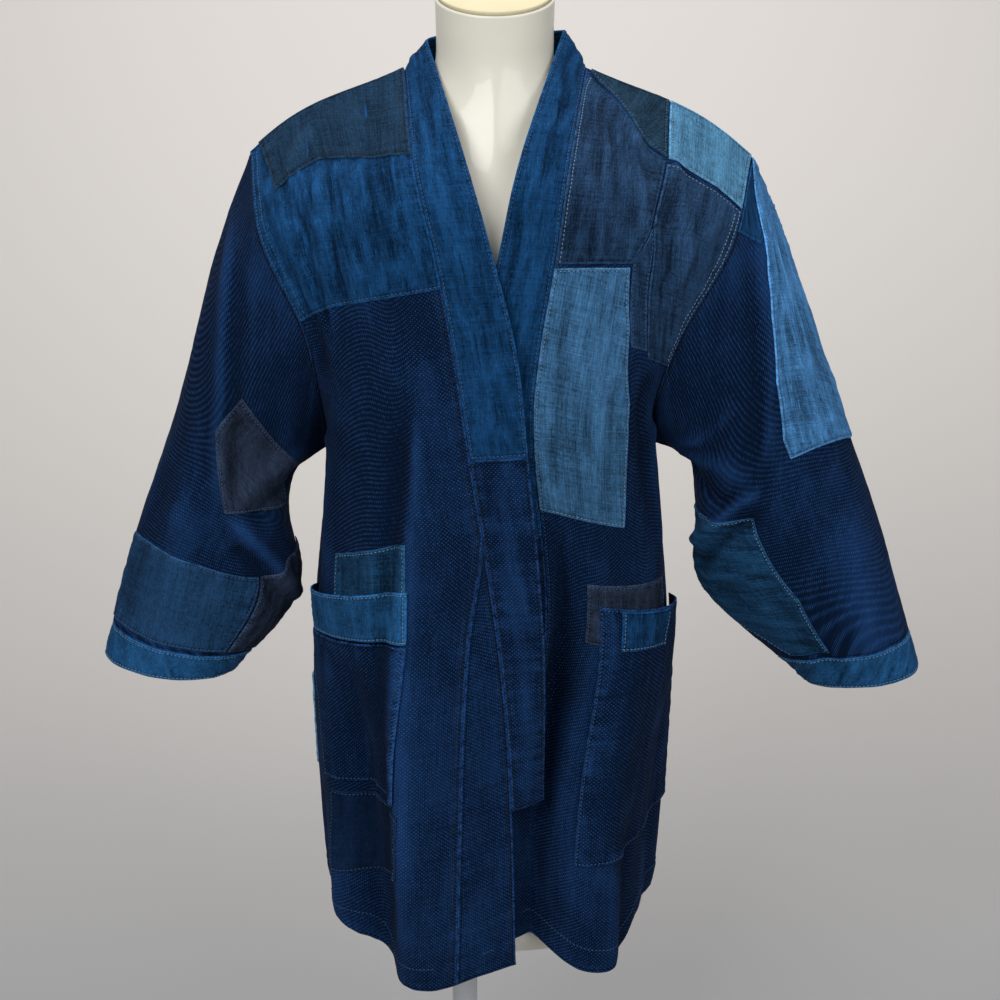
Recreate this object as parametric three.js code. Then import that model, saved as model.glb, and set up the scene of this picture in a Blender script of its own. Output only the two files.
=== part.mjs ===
// A patched boro jacket, open at the front, worn on a limbless dress form.
//
// Units are millimetres. X runs to the wearer's left, -Y is the front and +Z is up.
// The origin is the centre of the stand's round base, on its underside.
//
// Every cloth panel is a surface of two numbers. On the fronts and the back, u runs
// across from the front edge (or the centre back) to the side, and v runs up: 0 is the
// hem, 1 the armpit and 2 the shoulder seam. On a sleeve, u runs once round from the
// shoulder by the front, and v runs from the armhole (0) to the cuff (1). On the collar
// band, u runs from its seam (0) to its free edge (1), and v is the front's own v, with
// 2 to 3 going round the back of the neck.

import * as THREE from 'three';

// ---------------------------------------------------------------- driving dimensions

const BODY_CLOTH = 2.0; // wall of the sashiko panels
const BAND_CLOTH = 3.0; // wall of the folded collar band
const CUFF_CLOTH = 2.4; // wall of the cuff bands
const PATCH_CLOTH = 1.2; // wall of a sewn-on patch
const SEAM_GAP = 0.3; // between two pieces that meet at a seam
const LIFT = SEAM_GAP; // between a panel and the patch on it

const RIGHT = -1; // the wearer's right side lies at -X
const LEFT = 1;

// Heights on the body at which the sections below are given.
const LEVELS = [0, 0.35, 0.7, 1, 1.3, 1.6, 1.85, 2];
const BODY_ROWS = [
  0, 0.12, 0.24, 0.35, 0.47, 0.58, 0.7, 0.85, 1, 1.15, 1.3, 1.45, 1.6, 1.725, 1.85, 1.93, 2,
];
const ARMPIT = 1;
const SHOULDER = 2;

// The collar seam, which is also the front edge below the band's end.
const COLLAR_SEAM = {
  [RIGHT]: [
    [17, -158, 322], [13, -160, 498], [-1, -160, 680], [-29, -156, 870],
    [-43, -150, 965], [-60, -138, 1058], [-83, -102, 1150], [-95, 12, 1228],
  ],
  [LEFT]: [
    [4, -126, 332], [8, -126, 498], [47, -122, 680], [33, -142, 880],
    [37, -143, 965], [53, -132, 1062], [66, -104, 1148], [86, 12, 1230],
  ],
};

// The side seam, at the levels from the hem to the armpit.
const SIDE_SEAM = {
  [RIGHT]: [[-185, 0, 347], [-197, 0, 500], [-198, 0, 660], [-178, 0, 845]],
  [LEFT]: [[168, 0, 337], [178, 0, 485], [178, 0, 645], [155, 0, 850]],
};

// The armhole's two halves, at the levels from the armpit to the shoulder.
const SHOULDER_POINT = { [RIGHT]: [-251, 8, 1146], [LEFT]: [253, 8, 1143] };
const SHOULDER_RISE = 12; // how far the shoulder seam bows up between the neck and the sleeve
const ARMHOLE = {
  front: {
    [RIGHT]: [[-182, -60, 915], [-194, -92, 990], [-236, -67, 1076]],
    [LEFT]: [[158, -62, 912], [180, -92, 985], [229, -66, 1068]],
  },
  back: {
    [RIGHT]: [[-186, 56, 918], [-200, 86, 995], [-238, 62, 1080]],
    [LEFT]: [[165, 56, 916], [188, 86, 992], [232, 62, 1072]],
  },
};

const BACK_CENTRE = [
  [-5, 120, 345], [-5, 118, 500], [-5, 108, 670], [-5, 112, 860],
  [-5, 120, 965], [-5, 118, 1060], [-5, 102, 1150], [-5, 70, 1212],
];

const SECTION_TURN = [90, 90, 90, 90, 76, 64, 54, 50]; // degrees of arc in half a section
const FRONT_FULLNESS = [10, 12, 14, 14, 8, 4, 0, 0]; // how far a section fills its corner
const BACK_FULLNESS = [14, 14, 12, 10, 6, 4, 0, 0];
const NECK_U = 0.38; // where the back panel's top edge leaves the neck for the shoulder

// The hem's height from the front edge to the side seam.
const HEM_HEIGHT = {
  [RIGHT]: {
    u: [0, 0.12, 0.27, 0.42, 0.55, 0.7, 0.85, 1],
    z: [322, 310, 297, 299, 330, 352, 360, 349],
  },
  [LEFT]: { u: [0, 0.12, 0.3, 0.5, 0.62, 0.8, 1], z: [332, 328, 301, 302, 325, 345, 337] },
};
const HEM_REACH = 0.5; // how far up (in v) the hem's own line is felt

// Long hanging folds: where each lies at the hem and at its top (u), its half width (u),
// how far it stands out (+) or in (-), the v where it has died away, and over what length.
const FOLDS = {
  [RIGHT]: [
    { hem: 0.27, top: 0.3, width: 0.13, push: 22, end: 0.95, fade: 0.5 },
    { hem: 0.475, top: 0.5, width: 0.07, push: -22, end: 0.75, fade: 0.35 },
    { hem: 0.62, top: 0.62, width: 0.1, push: 10, end: 0.7, fade: 0.4 },
  ],
  [LEFT]: [
    { hem: 0.14, top: 0.1, width: 0.075, push: -28, end: 0.8, fade: 0.25 },
    { hem: 0.36, top: 0.36, width: 0.13, push: 22, end: 0.9, fade: 0.5 },
    { hem: 0.7, top: 0.72, width: 0.1, push: -10, end: 0.7, fade: 0.4 },
  ],
  back: [
    { hem: 0, top: 0, width: 0.1, push: 8, end: 0.9, fade: 0.5 },
    { hem: 0.28, top: 0.25, width: 0.1, push: -9, end: 0.9, fade: 0.6 },
    { hem: 0.55, top: 0.5, width: 0.12, push: 10, end: 0.9, fade: 0.6 },
    { hem: 0.8, top: 0.8, width: 0.08, push: -8, end: 0.7, fade: 0.4 },
  ],
};

// The wedge sewn in beside the right front edge: its width (u) at the heights given.
const WEDGE = { v: [0, 0.35, 0.7, 0.85], u: [0.19, 0.16, 0.1, 0.012] };

// Collar band: free edge at the levels from 0.35 up, and behind the neck.
const BAND_END = 0.35;
const BAND_FREE_EDGE = {
  [RIGHT]: [
    [46, -140, 502], [44, -161, 683], [27, -163, 875], [16, -156, 975],
    [-7, -142, 1068], [-37, -100, 1166], [-73, 8, 1257],
  ],
  [LEFT]: [
    [-30, -132, 500], [-8, -126, 683], [-24, -140, 885], [-19, -140, 972],
    [1, -132, 1078], [22, -106, 1164], [64, 8, 1267],
  ],
};
const BAND_FREE_BACK = [-5, 60, 1262];
const BAND_COLOUR_CHANGE = { [RIGHT]: 1, [LEFT]: 0.85 };

// Sleeves: the outer and inner lines and half the depth, at the stations given.
const SLEEVE_STATIONS = [0, 0.25, 0.5, 0.75, 1];
const SLEEVE_ROWS = [0, 0.08, 0.17, 0.27, 0.38, 0.5, 0.61, 0.72, 0.83, 0.93];
const SLEEVE_OUTER = {
  [RIGHT]: [[-251, 8, 1146], [-296, 2, 1030], [-337, -5, 880], [-386, -8, 748], [-425, -8, 617]],
  [LEFT]: [[253, 8, 1143], [303, 2, 1025], [353, -5, 885], [405, -8, 745], [451, -8, 604]],
};
const SLEEVE_INNER = {
  [RIGHT]: [[-178, 0, 845], [-214, -5, 815], [-223, -6, 765], [-217, -6, 684], [-282, -6, 596]],
  [LEFT]: [[155, 0, 850], [198, -5, 828], [207, -6, 770], [218, -6, 690], [328, -6, 586]],
};
const SLEEVE_HALF_DEPTH = [88, 80, 74, 70, 58];
const ARMHOLE_REACH = 0.45; // how far down the sleeve the armhole's shape is felt
const CUFF_START = 0.93;

// Dress form: half width, front and back depth of its section at each height, and how
// round the section is (2 is an ellipse, less draws its ends out into a shoulder).
const FORM_CENTRE_X = -5;
const FORM_SECTIONS = [
  [286, 118, 62, 78, 2], [291, 140, 78, 94, 2], [303, 158, 88, 103, 2], [322, 166, 93, 107, 2],
  [400, 166, 94, 108, 2], [520, 158, 92, 98, 2], [650, 144, 86, 82, 2], [760, 142, 92, 86, 2],
  [860, 146, 106, 96, 2], [930, 156, 114, 104, 2], [1000, 176, 114, 106, 2], [1050, 198, 108, 103, 2],
  [1090, 212, 96, 94, 1.9], [1118, 216, 84, 84, 1.7], [1136, 210, 76, 77, 1.5], [1152, 190, 70, 70, 1.35],
  [1170, 158, 64, 62, 1.3], [1188, 124, 59, 56, 1.35], [1204, 90, 55, 52, 1.45], [1220, 67, 52, 49, 1.65],
  [1238, 59, 50, 47, 1.85], [1262, 58, 51, 47, 2],
];
const NECK_TOP = { z: 1300, halfWidth: 59, front: 53, back: 48, slope: 0.34 };
const NECK_CAP = { inset: 1.5, thickness: 4 };

// Stand: a round base, and a pole under the form.
const BASE = { radius: 175, thickness: 10, chamfer: 2 };
const POLE = { x: -40, radius: 14, flangeRadius: 45, flangeThickness: 6 };
const FORM_BOTTOM = FORM_SECTIONS[0][0];

// ---------------------------------------------------------------- small helpers

const add = (a, b, k = 1) => a.map((value, i) => value + b[i] * k);
const mix = (a, b, t) => a.map((value, i) => value + (b[i] - value) * t);
const clamp01 = (t) => Math.min(1, Math.max(0, t));
const ramp = (t) => clamp01(t) ** 2 * (3 - 2 * clamp01(t));
const bell = (t) => Math.exp(-t * t);

function unit(a) {
  const length = Math.hypot(...a) || 1;
  return a.map((value) => value / length);
}

function cross(a, b) {
  return [a[1] * b[2] - a[2] * b[1], a[2] * b[0] - a[0] * b[2], a[0] * b[1] - a[1] * b[0]];
}

// Smooth curve through points (or single numbers) given at rising knots.
function spline(knots, values) {
  const points = values.map((value) => (Array.isArray(value) ? value : [value]));
  const last = knots.length - 1;
  const slope = (i) => {
    const a = Math.max(0, i - 1);
    const b = Math.min(last, i + 1);
    return points[0].map((_, k) => (points[b][k] - points[a][k]) / (knots[b] - knots[a]));
  };
  const slopes = knots.map((_, i) => slope(i));
  return (t) => {
    const at = Math.min(knots[last], Math.max(knots[0], t));
    let i = 0;
    while (i < last - 1 && at >= knots[i + 1]) i += 1;
    const step = knots[i + 1] - knots[i];
    const x = (at - knots[i]) / step;
    const point = points[i].map((start, k) => {
      const end = points[i + 1][k];
      return (2 * x ** 3 - 3 * x ** 2 + 1) * start + (x ** 3 - 2 * x ** 2 + x) * step * slopes[i][k]
        + (3 * x ** 2 - 2 * x ** 3) * end + (x ** 3 - x ** 2) * step * slopes[i + 1][k];
    });
    return Array.isArray(values[0]) ? point : point[0];
  };
}

// ---------------------------------------------------------------- the garment's surfaces

const sectionTurn = spline(LEVELS, SECTION_TURN);
const frontFullness = spline(LEVELS, FRONT_FULLNESS);
const backFullness = spline(LEVELS, BACK_FULLNESS);

// Part of an ellipse in plan, from a centre line point to a side point, with its outward
// direction; turnTo is +1 or -1 for which way round it goes.
function section(u, centre, side, turn, turnTo) {
  const angle = (turn * Math.PI) / 180;
  const across = Math.sin(angle * u) / Math.sin(angle);
  const deep = (1 - Math.cos(angle * u)) / (1 - Math.cos(angle));
  const point = [
    centre[0] + (side[0] - centre[0]) * across,
    centre[1] + (side[1] - centre[1]) * deep,
    centre[2] + (side[2] - centre[2]) * u,
  ];
  const dx = ((side[0] - centre[0]) * Math.cos(angle * u)) / Math.sin(angle);
  const dy = ((side[1] - centre[1]) * Math.sin(angle * u)) / (1 - Math.cos(angle));
  return { point, outward: unit([-dy * turnTo, dx * turnTo, 0]) };
}

function foldPush(u, v, folds) {
  return folds.reduce((sum, fold) => {
    const at = fold.hem + (fold.top - fold.hem) * clamp01(v / fold.end);
    return sum + fold.push * bell((u - at) / fold.width) * ramp((fold.end - v) / fold.fade);
  }, 0);
}

// A panel's outer edge: the side seam, then its half of the armhole.
function sideEdge(side, half) {
  const armpitLevel = LEVELS.indexOf(ARMPIT);
  const seam = spline(LEVELS.slice(0, armpitLevel + 1), SIDE_SEAM[side]);
  const armpit = SIDE_SEAM[side].at(-1);
  const armhole = spline(LEVELS.slice(armpitLevel), [armpit, ...ARMHOLE[half][side], SHOULDER_POINT[side]]);
  return (v) => (v <= ARMPIT ? seam(v) : armhole(v));
}

// How far the shoulder seam lies above a straight line, from the neck (0) to the sleeve (1).
const shoulderRise = (t) => [0, 0, SHOULDER_RISE * Math.sin(Math.PI * t ** 1.5)];

function frontSurface(side) {
  const seam = spline(LEVELS, COLLAR_SEAM[side]);
  const edge = sideEdge(side, 'front');
  const hem = spline(HEM_HEIGHT[side].u, HEM_HEIGHT[side].z);
  return (u, v) => {
    const from = seam(v);
    const to = edge(v);
    const { point, outward } = section(u, from, to, sectionTurn(v), -side);
    const full = frontFullness(v) * Math.sin(Math.PI * u) ** 2 + foldPush(u, v, FOLDS[side]);
    const straight = add(add(mix(from, to, u), shoulderRise(u)), point, -1);
    const shaped = add(add(point, outward, full), straight, ramp((v - 1.7) / 0.3));
    const hemPull = clamp01(1 - v / HEM_REACH) ** 1.5;
    shaped[2] += (hem(u) - mix(from, to, u)[2]) * hemPull;
    return shaped;
  };
}

// A quarter ellipse from the centre line towards a point at the side.
function quarterRound(centre, side, t) {
  const angle = (t * Math.PI) / 2;
  return [
    centre[0] + (side[0] - centre[0]) * Math.sin(angle),
    centre[1] + (side[1] - centre[1]) * (1 - Math.cos(angle)),
    centre[2] + (side[2] - centre[2]) * (1 - Math.cos(angle)),
  ];
}

// The back panel's top edge: round the neck, then straight along the shoulder seam.
function backTopEdge(k, side) {
  const neckPoint = COLLAR_SEAM[side].at(-1);
  if (k < NECK_U) return quarterRound(BACK_CENTRE.at(-1), neckPoint, k / NECK_U);
  const t = (k - NECK_U) / (1 - NECK_U);
  return add(mix(neckPoint, SHOULDER_POINT[side], t), shoulderRise(t));
}

// The back panel; u runs from -1 at the right side seam to 1 at the left one.
function backSurface() {
  const spine = spline(LEVELS, BACK_CENTRE);
  const edges = { [RIGHT]: sideEdge(RIGHT, 'back'), [LEFT]: sideEdge(LEFT, 'back') };
  return (u, v) => {
    const side = u < 0 ? RIGHT : LEFT;
    const k = Math.abs(u);
    const { point, outward } = section(k, spine(v), edges[side](v), sectionTurn(v), side);
    const full = backFullness(v) * Math.sin(Math.PI * k) ** 2 + foldPush(k, v, FOLDS.back);
    const top = section(k, spine(SHOULDER), edges[side](SHOULDER), sectionTurn(SHOULDER), side);
    const toTopEdge = add(backTopEdge(k, side), top.point, -1);
    return add(add(point, outward, full), toTopEdge, ramp((v - 1.5) / 0.5));
  };
}

// A sleeve: ellipses from the outer line to the inner line, drawn to the armhole's own
// shape at the top.
function sleeveSurface(side) {
  const outer = spline(SLEEVE_STATIONS, SLEEVE_OUTER[side]);
  const inner = spline(SLEEVE_STATIONS, SLEEVE_INNER[side]);
  const halfDepth = spline(SLEEVE_STATIONS, SLEEVE_HALF_DEPTH);
  const frontArmhole = sideEdge(side, 'front');
  const backArmhole = sideEdge(side, 'back');
  const ring = (u, v) => {
    const angle = 2 * Math.PI * u;
    const point = mix(mix(outer(v), inner(v), 0.5), outer(v), Math.cos(angle));
    return [point[0], point[1] - halfDepth(v) * Math.sin(angle), point[2]];
  };
  return (u, v) => {
    const turn = ((u % 1) + 1) % 1;
    const armhole = turn <= 0.5 ? frontArmhole(2 - 2 * turn) : backArmhole(2 * turn);
    return add(ring(u, v), add(armhole, ring(u, 0), -1), clamp01(1 - v / ARMHOLE_REACH) ** 2);
  };
}

// The collar band, from its seam to its free edge.
function collarSurface(side) {
  const seam = spline(LEVELS, COLLAR_SEAM[side]);
  const free = spline(LEVELS.slice(1), BAND_FREE_EDGE[side]);
  return (u, v) => {
    if (v <= SHOULDER) return mix(seam(v), free(v), u);
    const seamPoint = quarterRound(BACK_CENTRE.at(-1), COLLAR_SEAM[side].at(-1), 3 - v);
    const freePoint = quarterRound(BAND_FREE_BACK, BAND_FREE_EDGE[side].at(-1), 3 - v);
    return mix(seamPoint, freePoint, u);
  };
}

// A surface with its outward direction; `facing` says which way its two directions turn.
function oriented(at, facing, uRange, vRange) {
  const step = 1e-3;
  const difference = (u0, v0, u1, v1) => add(at(u1, v1), at(u0, v0), -1);
  const normal = (u, v) => {
    const [ua, ub] = [Math.max(uRange[0], u - step), Math.min(uRange[1], u + step)];
    const [va, vb] = [Math.max(vRange[0], v - step), Math.min(vRange[1], v + step)];
    const across = cross(difference(ua, v, ub, v), difference(u, va, u, vb));
    return unit(across.map((value) => value * facing));
  };
  return { at, normal };
}

const front = {};
const sleeve = {};
const collar = {};
for (const side of [RIGHT, LEFT]) {
  front[side] = oriented(frontSurface(side), side, [0, 1], [0, SHOULDER]);
  sleeve[side] = oriented(sleeveSurface(side), side, [-1, 2], [0, 1]);
  collar[side] = oriented(collarSurface(side), -side, [0, 1], [BAND_END, 3]);
}
const back = oriented(backSurface(), -1, [-1, 1], [0, SHOULDER]);

// ---------------------------------------------------------------- directions at the seams
// Two pieces that meet share one direction through the seam, halfway between their own,
// so that their walls lie side by side like a mitre.

const halfway = (...normals) => unit(normals.reduce((sum, normal) => add(sum, normal)));

function sideSeamNormal(side, v, half) {
  const own = [];
  if (half === 'front' || v <= ARMPIT || v >= SHOULDER) own.push(front[side].normal(1, v));
  if (half === 'back' || v <= ARMPIT || v >= SHOULDER) own.push(back.normal(side, v));
  if (v >= ARMPIT) own.push(sleeve[side].normal(half === 'back' ? v / 2 : (2 - v) / 2, 0));
  return halfway(...own);
}

function collarSeamNormal(side, v) {
  const own = [collar[side].normal(0, Math.max(v, BAND_END))];
  if (v <= SHOULDER) own.push(front[side].normal(0, v));
  if (v >= SHOULDER) own.push(back.normal(side * NECK_U * (3 - v), SHOULDER));
  return halfway(...own);
}

function shoulderSeamNormal(side, u) {
  if (u <= 0) return collarSeamNormal(side, SHOULDER);
  if (u >= 1) return sideSeamNormal(side, SHOULDER, 'front');
  return halfway(front[side].normal(u, SHOULDER), back.normal(side * (NECK_U + (1 - NECK_U) * u), SHOULDER));
}

// ---------------------------------------------------------------- meshes from surfaces

// Points of a panel's outer face, with their directions, at each column and row.
function lattice(surface, columns, rows, place, seamNormal) {
  return columns.map((column) => rows.map((row) => {
    const [u, v] = place(column, row);
    return { u, v, point: surface.at(u, v), normal: seamNormal(u, v) ?? surface.normal(u, v) };
  }));
}

// Draws the edges of a lattice back from its neighbours by half the seam gap.
function drawBack(grid, wraps) {
  const columns = grid.length;
  const rows = grid[0].length;
  const pull = (i, j, towards) => {
    const away = unit(add(towards.point, grid[i][j].point, -1));
    return add(grid[i][j].point, away, SEAM_GAP / 2);
  };
  for (let i = 0; i < columns; i += 1) {
    grid[i][0].point = pull(i, 0, grid[i][1]);
    grid[i][rows - 1].point = pull(i, rows - 1, grid[i][rows - 2]);
  }
  if (wraps) return grid;
  for (let j = 0; j < rows; j += 1) {
    grid[0][j].point = pull(0, j, grid[1][j]);
    grid[columns - 1][j].point = pull(columns - 1, j, grid[columns - 2][j]);
  }
  return grid;
}

// The lattice's triangles, each turning so that it faces outwards.
function latticeTriangles(grid, wraps) {
  const triangles = [];
  const last = wraps ? grid.length : grid.length - 1;
  const middle = grid[Math.floor(last / 2)];
  const j = Math.floor(middle.length / 2);
  const along = add(middle[j].point, middle[j - 1].point, -1);
  const across = add(middle[j].point, grid[Math.floor(last / 2) - 1][j].point, -1);
  const outwards = cross(across, along).reduce((sum, value, k) => sum + value * middle[j].normal[k], 0) > 0;
  for (let i = 0; i < last; i += 1) {
    const next = (i + 1) % grid.length;
    for (let k = 0; k < grid[0].length - 1; k += 1) {
      const [a, b, c, d] = [grid[i][k], grid[next][k], grid[next][k + 1], grid[i][k + 1]];
      triangles.push(...(outwards ? [[a, b, c], [a, c, d]] : [[a, c, b], [a, d, c]]));
    }
  }
  return triangles;
}

// A closed wall: the triangles twice, `low` and `high` above their points, and a rim
// along each edge that only one triangle has.
function wallGeometry(triangles, low, high) {
  const corners = new Map();
  const positions = [];
  const index = [];
  const cornerOf = (corner) => {
    const key = corner.key ?? corner;
    if (!corners.has(key)) {
      corners.set(key, positions.length / 3);
      positions.push(...add(corner.point, corner.normal, low(corner)));
      positions.push(...add(corner.point, corner.normal, high(corner)));
    }
    return corners.get(key);
  };
  const edges = new Set();
  const faces = triangles.map((triangle) => triangle.map(cornerOf)).filter((f) => new Set(f).size === 3);
  for (const [a, b, c] of faces) {
    index.push(a + 1, b + 1, c + 1, a, c, b);
    for (const [from, to] of [[a, b], [b, c], [c, a]]) edges.add(`${from} ${to}`);
  }
  // Neighbours at a seam cut their rims' quads along the same diagonal, up from the
  // lower corner.
  const heightOf = (corner) => positions[corner * 3 + 2];
  for (const edge of edges) {
    const [from, to] = edge.split(' ').map(Number);
    if (edges.has(`${to} ${from}`)) continue;
    if (heightOf(from) < heightOf(to)) index.push(from, to, to + 1, from, to + 1, from + 1);
    else index.push(from, to, from + 1, to, to + 1, from + 1);
  }
  const geometry = new THREE.BufferGeometry();
  geometry.setAttribute('position', new THREE.Float32BufferAttribute(positions, 3));
  geometry.setIndex(index);
  geometry.computeVertexNormals();
  return geometry;
}

// The part of some triangles that lies inside a convex outline of [u, v] corners.
function clipped(triangles, outline) {
  const area = outline.reduce((sum, [u, v], i) => {
    const [nextU, nextV] = outline[(i + 1) % outline.length];
    return sum + u * nextV - nextU * v;
  }, 0);
  const loop = area > 0 ? outline : [...outline].reverse();
  const inside = (corner, [u0, v0], [u1, v1]) => (u1 - u0) * (corner.v - v0) - (v1 - v0) * (corner.u - u0);
  const between = (a, b, t) => ({
    u: a.u + (b.u - a.u) * t,
    v: a.v + (b.v - a.v) * t,
    point: mix(a.point, b.point, t),
    normal: mix(a.normal, b.normal, t),
  });
  const result = [];
  for (const triangle of triangles) {
    let polygon = triangle;
    loop.forEach((from, i) => {
      const to = loop[(i + 1) % loop.length];
      polygon = polygon.flatMap((corner, k) => {
        const next = polygon[(k + 1) % polygon.length];
        const [here, there] = [inside(corner, from, to), inside(next, from, to)];
        const kept = here >= 0 ? [corner] : [];
        return here >= 0 !== there >= 0 ? [...kept, between(corner, next, here / (here - there))] : kept;
      });
    });
    for (let k = 1; k < polygon.length - 1; k += 1) result.push([polygon[0], polygon[k], polygon[k + 1]]);
  }
  return result.map((triangle) => triangle.map((corner) => (
    { ...corner, key: `${corner.u.toFixed(5)} ${corner.v.toFixed(5)}` })));
}

// ---------------------------------------------------------------- the group and its meshes

const jacket = new THREE.Group();

function addMesh(name, geometry, colour, roughness = 0.92) {
  const material = new THREE.MeshStandardMaterial({ color: colour, roughness, metalness: 0 });
  const mesh = new THREE.Mesh(geometry, material);
  mesh.name = name;
  jacket.add(mesh);
}

// A panel's wall goes inwards from its outer face; its outer triangles are kept for the
// patches that lie on it.
function addPanel(name, grid, thickness, colour, wraps = false) {
  const triangles = latticeTriangles(drawBack(grid, wraps), wraps);
  addMesh(name, wallGeometry(triangles, () => -thickness, () => 0), colour);
  return triangles;
}

function addPatch(name, triangles, outline, colour, lift = () => LIFT, thickness = PATCH_CLOTH) {
  const pieces = clipped(triangles, outline);
  addMesh(name, wallGeometry(pieces, lift, (corner) => lift(corner) + thickness), colour);
}

const evenly = (from, to, count) => (
  Array.from({ length: count + 1 }, (_, i) => from + ((to - from) * i) / count));
const rowsBetween = (low, high) => BODY_ROWS.filter((v) => v >= low && v <= high);

const COLOUR = {
  navySashiko: '#14304f',
  midBlueCrinkle: '#2a5f8c',
  lightBlue: '#3a7db5',
  chambray: '#467798',
  darkSlub: '#2b4a6b',
  greyBlueChambray: '#37526a',
  greenGrey: '#34505f',
  charcoal: '#3a4456',
  denim: '#1e4468',
  form: '#f0ead9',
  formCap: '#c2b998',
  stand: '#b9bbbd',
};

// ---------------------------------------------------------------- body panels

const FRONT_COLUMNS = evenly(0, 1, 14);
const BACK_COLUMNS = [
  -1, -0.86, -0.73, -0.61, -0.49, -NECK_U, -0.25, -0.12, 0, 0.12, 0.25, NECK_U, 0.49, 0.61, 0.73, 0.86, 1,
];
const wedgeWidth = spline(WEDGE.v, WEDGE.u);
const WEDGE_TOP = WEDGE.v.at(-1);

function frontSeamNormal(side) {
  return (u, v) => {
    if (v >= SHOULDER) return shoulderSeamNormal(side, u);
    if (u <= 0 && v >= BAND_END) return collarSeamNormal(side, v);
    if (u >= 1) return sideSeamNormal(side, v, 'front');
    return undefined;
  };
}

function addFront(name, side, firstU) {
  const place = (column, v) => [firstU(v) + (1 - firstU(v)) * column, v];
  const grid = lattice(front[side], FRONT_COLUMNS, BODY_ROWS, place, frontSeamNormal(side));
  return addPanel(name, grid, BODY_CLOTH, COLOUR.navySashiko);
}

function addWedge() {
  const place = (column, v) => [wedgeWidth(v) * column, v];
  const columns = [0, 0.5, 1];
  const grid = lattice(front[RIGHT], columns, rowsBetween(0, WEDGE_TOP), place, frontSeamNormal(RIGHT));
  addPanel('front_wedge_right', grid, BODY_CLOTH, COLOUR.navySashiko);
}

function addBack() {
  const seamNormal = (u, v) => {
    const side = u < 0 ? RIGHT : LEFT;
    const k = Math.abs(u);
    if (k >= 1) return sideSeamNormal(side, v, 'back');
    if (v < SHOULDER) return undefined;
    if (k >= NECK_U) return shoulderSeamNormal(side, (k - NECK_U) / (1 - NECK_U));
    return collarSeamNormal(side, 3 - k / NECK_U);
  };
  const grid = lattice(back, BACK_COLUMNS, BODY_ROWS, (u, v) => [u, v], seamNormal);
  addPanel('back', grid, BODY_CLOTH, COLOUR.navySashiko);
}

// ---------------------------------------------------------------- collar band

const NECK_COLUMNS = BACK_COLUMNS.filter((u) => u >= 0 && u < NECK_U).reverse();
const COLLAR_ROWS = [...rowsBetween(BAND_END, SHOULDER), ...NECK_COLUMNS.map((u) => 3 - u / NECK_U)];

function addCollar(name, side, low, high, colour) {
  const rows = COLLAR_ROWS.filter((v) => v >= low && v <= high);
  const seamNormal = (u, v) => {
    if (u <= 0) return collarSeamNormal(side, v);
    if (v >= 3) return halfway(collar[RIGHT].normal(u, 3), collar[LEFT].normal(u, 3));
    return undefined;
  };
  addPanel(name, lattice(collar[side], [0, 0.5, 1], rows, (u, v) => [u, v], seamNormal), BAND_CLOTH, colour);
}

// ---------------------------------------------------------------- sleeves

const armholeRows = rowsBetween(ARMPIT, SHOULDER);
const SLEEVE_COLUMNS = [
  ...[...armholeRows].reverse().map((v) => (2 - v) / 2),
  ...armholeRows.slice(1, -1).map((v) => v / 2),
];

function addSleeve(name, side, rows, thickness, colour) {
  const seamNormal = (u, v) => {
    if (v > 0) return undefined;
    return u <= 0.5 ? sideSeamNormal(side, 2 - 2 * u, 'front') : sideSeamNormal(side, 2 * u, 'back');
  };
  const grid = lattice(sleeve[side], SLEEVE_COLUMNS, rows, (u, v) => [u, v], seamNormal);
  return addPanel(name, grid, thickness, colour, true);
}

// A sleeve's triangles laid out past the turn at u = 0, for a patch that crosses it.
function unrolled(triangles) {
  const isWide = (t) => Math.max(...t.map((c) => c.u)) - Math.min(...t.map((c) => c.u)) > 0.5;
  const closed = triangles.map((t) => (isWide(t) ? t.map((c) => (c.u < 0.5 ? { ...c, u: c.u + 1 } : c)) : t));
  return [...closed, ...closed.map((t) => t.map((c) => ({ ...c, u: c.u - 1 })))];
}

// ---------------------------------------------------------------- patches and pockets

const SECOND_LAYER = LIFT + PATCH_CLOTH + LIFT; // on top of a patch
const POCKET_CLOTH = 1.6;

const onTop = () => SECOND_LAYER;

const FRONT_RIGHT_PATCHES = [
  ['yoke_right', [[0, 1.53], [1, 1.61], [1, 2], [0, 2]], COLOUR.midBlueCrinkle],
  ['shoulder_patch_right', [[0, 1.865], [0.84, 1.9], [0.94, 2], [0, 2]], COLOUR.greyBlueChambray, onTop],
  ['pocket_backing_right', [[0.28, 0.74], [0.59, 0.73], [0.59, 0.845], [0.27, 0.87]], COLOUR.chambray],
  ['lower_patch_right', [[0.34, 0.29], [0.64, 0.225], [0.64, 0.385], [0.32, 0.395]], COLOUR.denim],
  ['side_patch_right', [[0.93, 0.37], [1, 0.37], [1, 0.56], [0.93, 0.56]], COLOUR.lightBlue],
];

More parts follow.
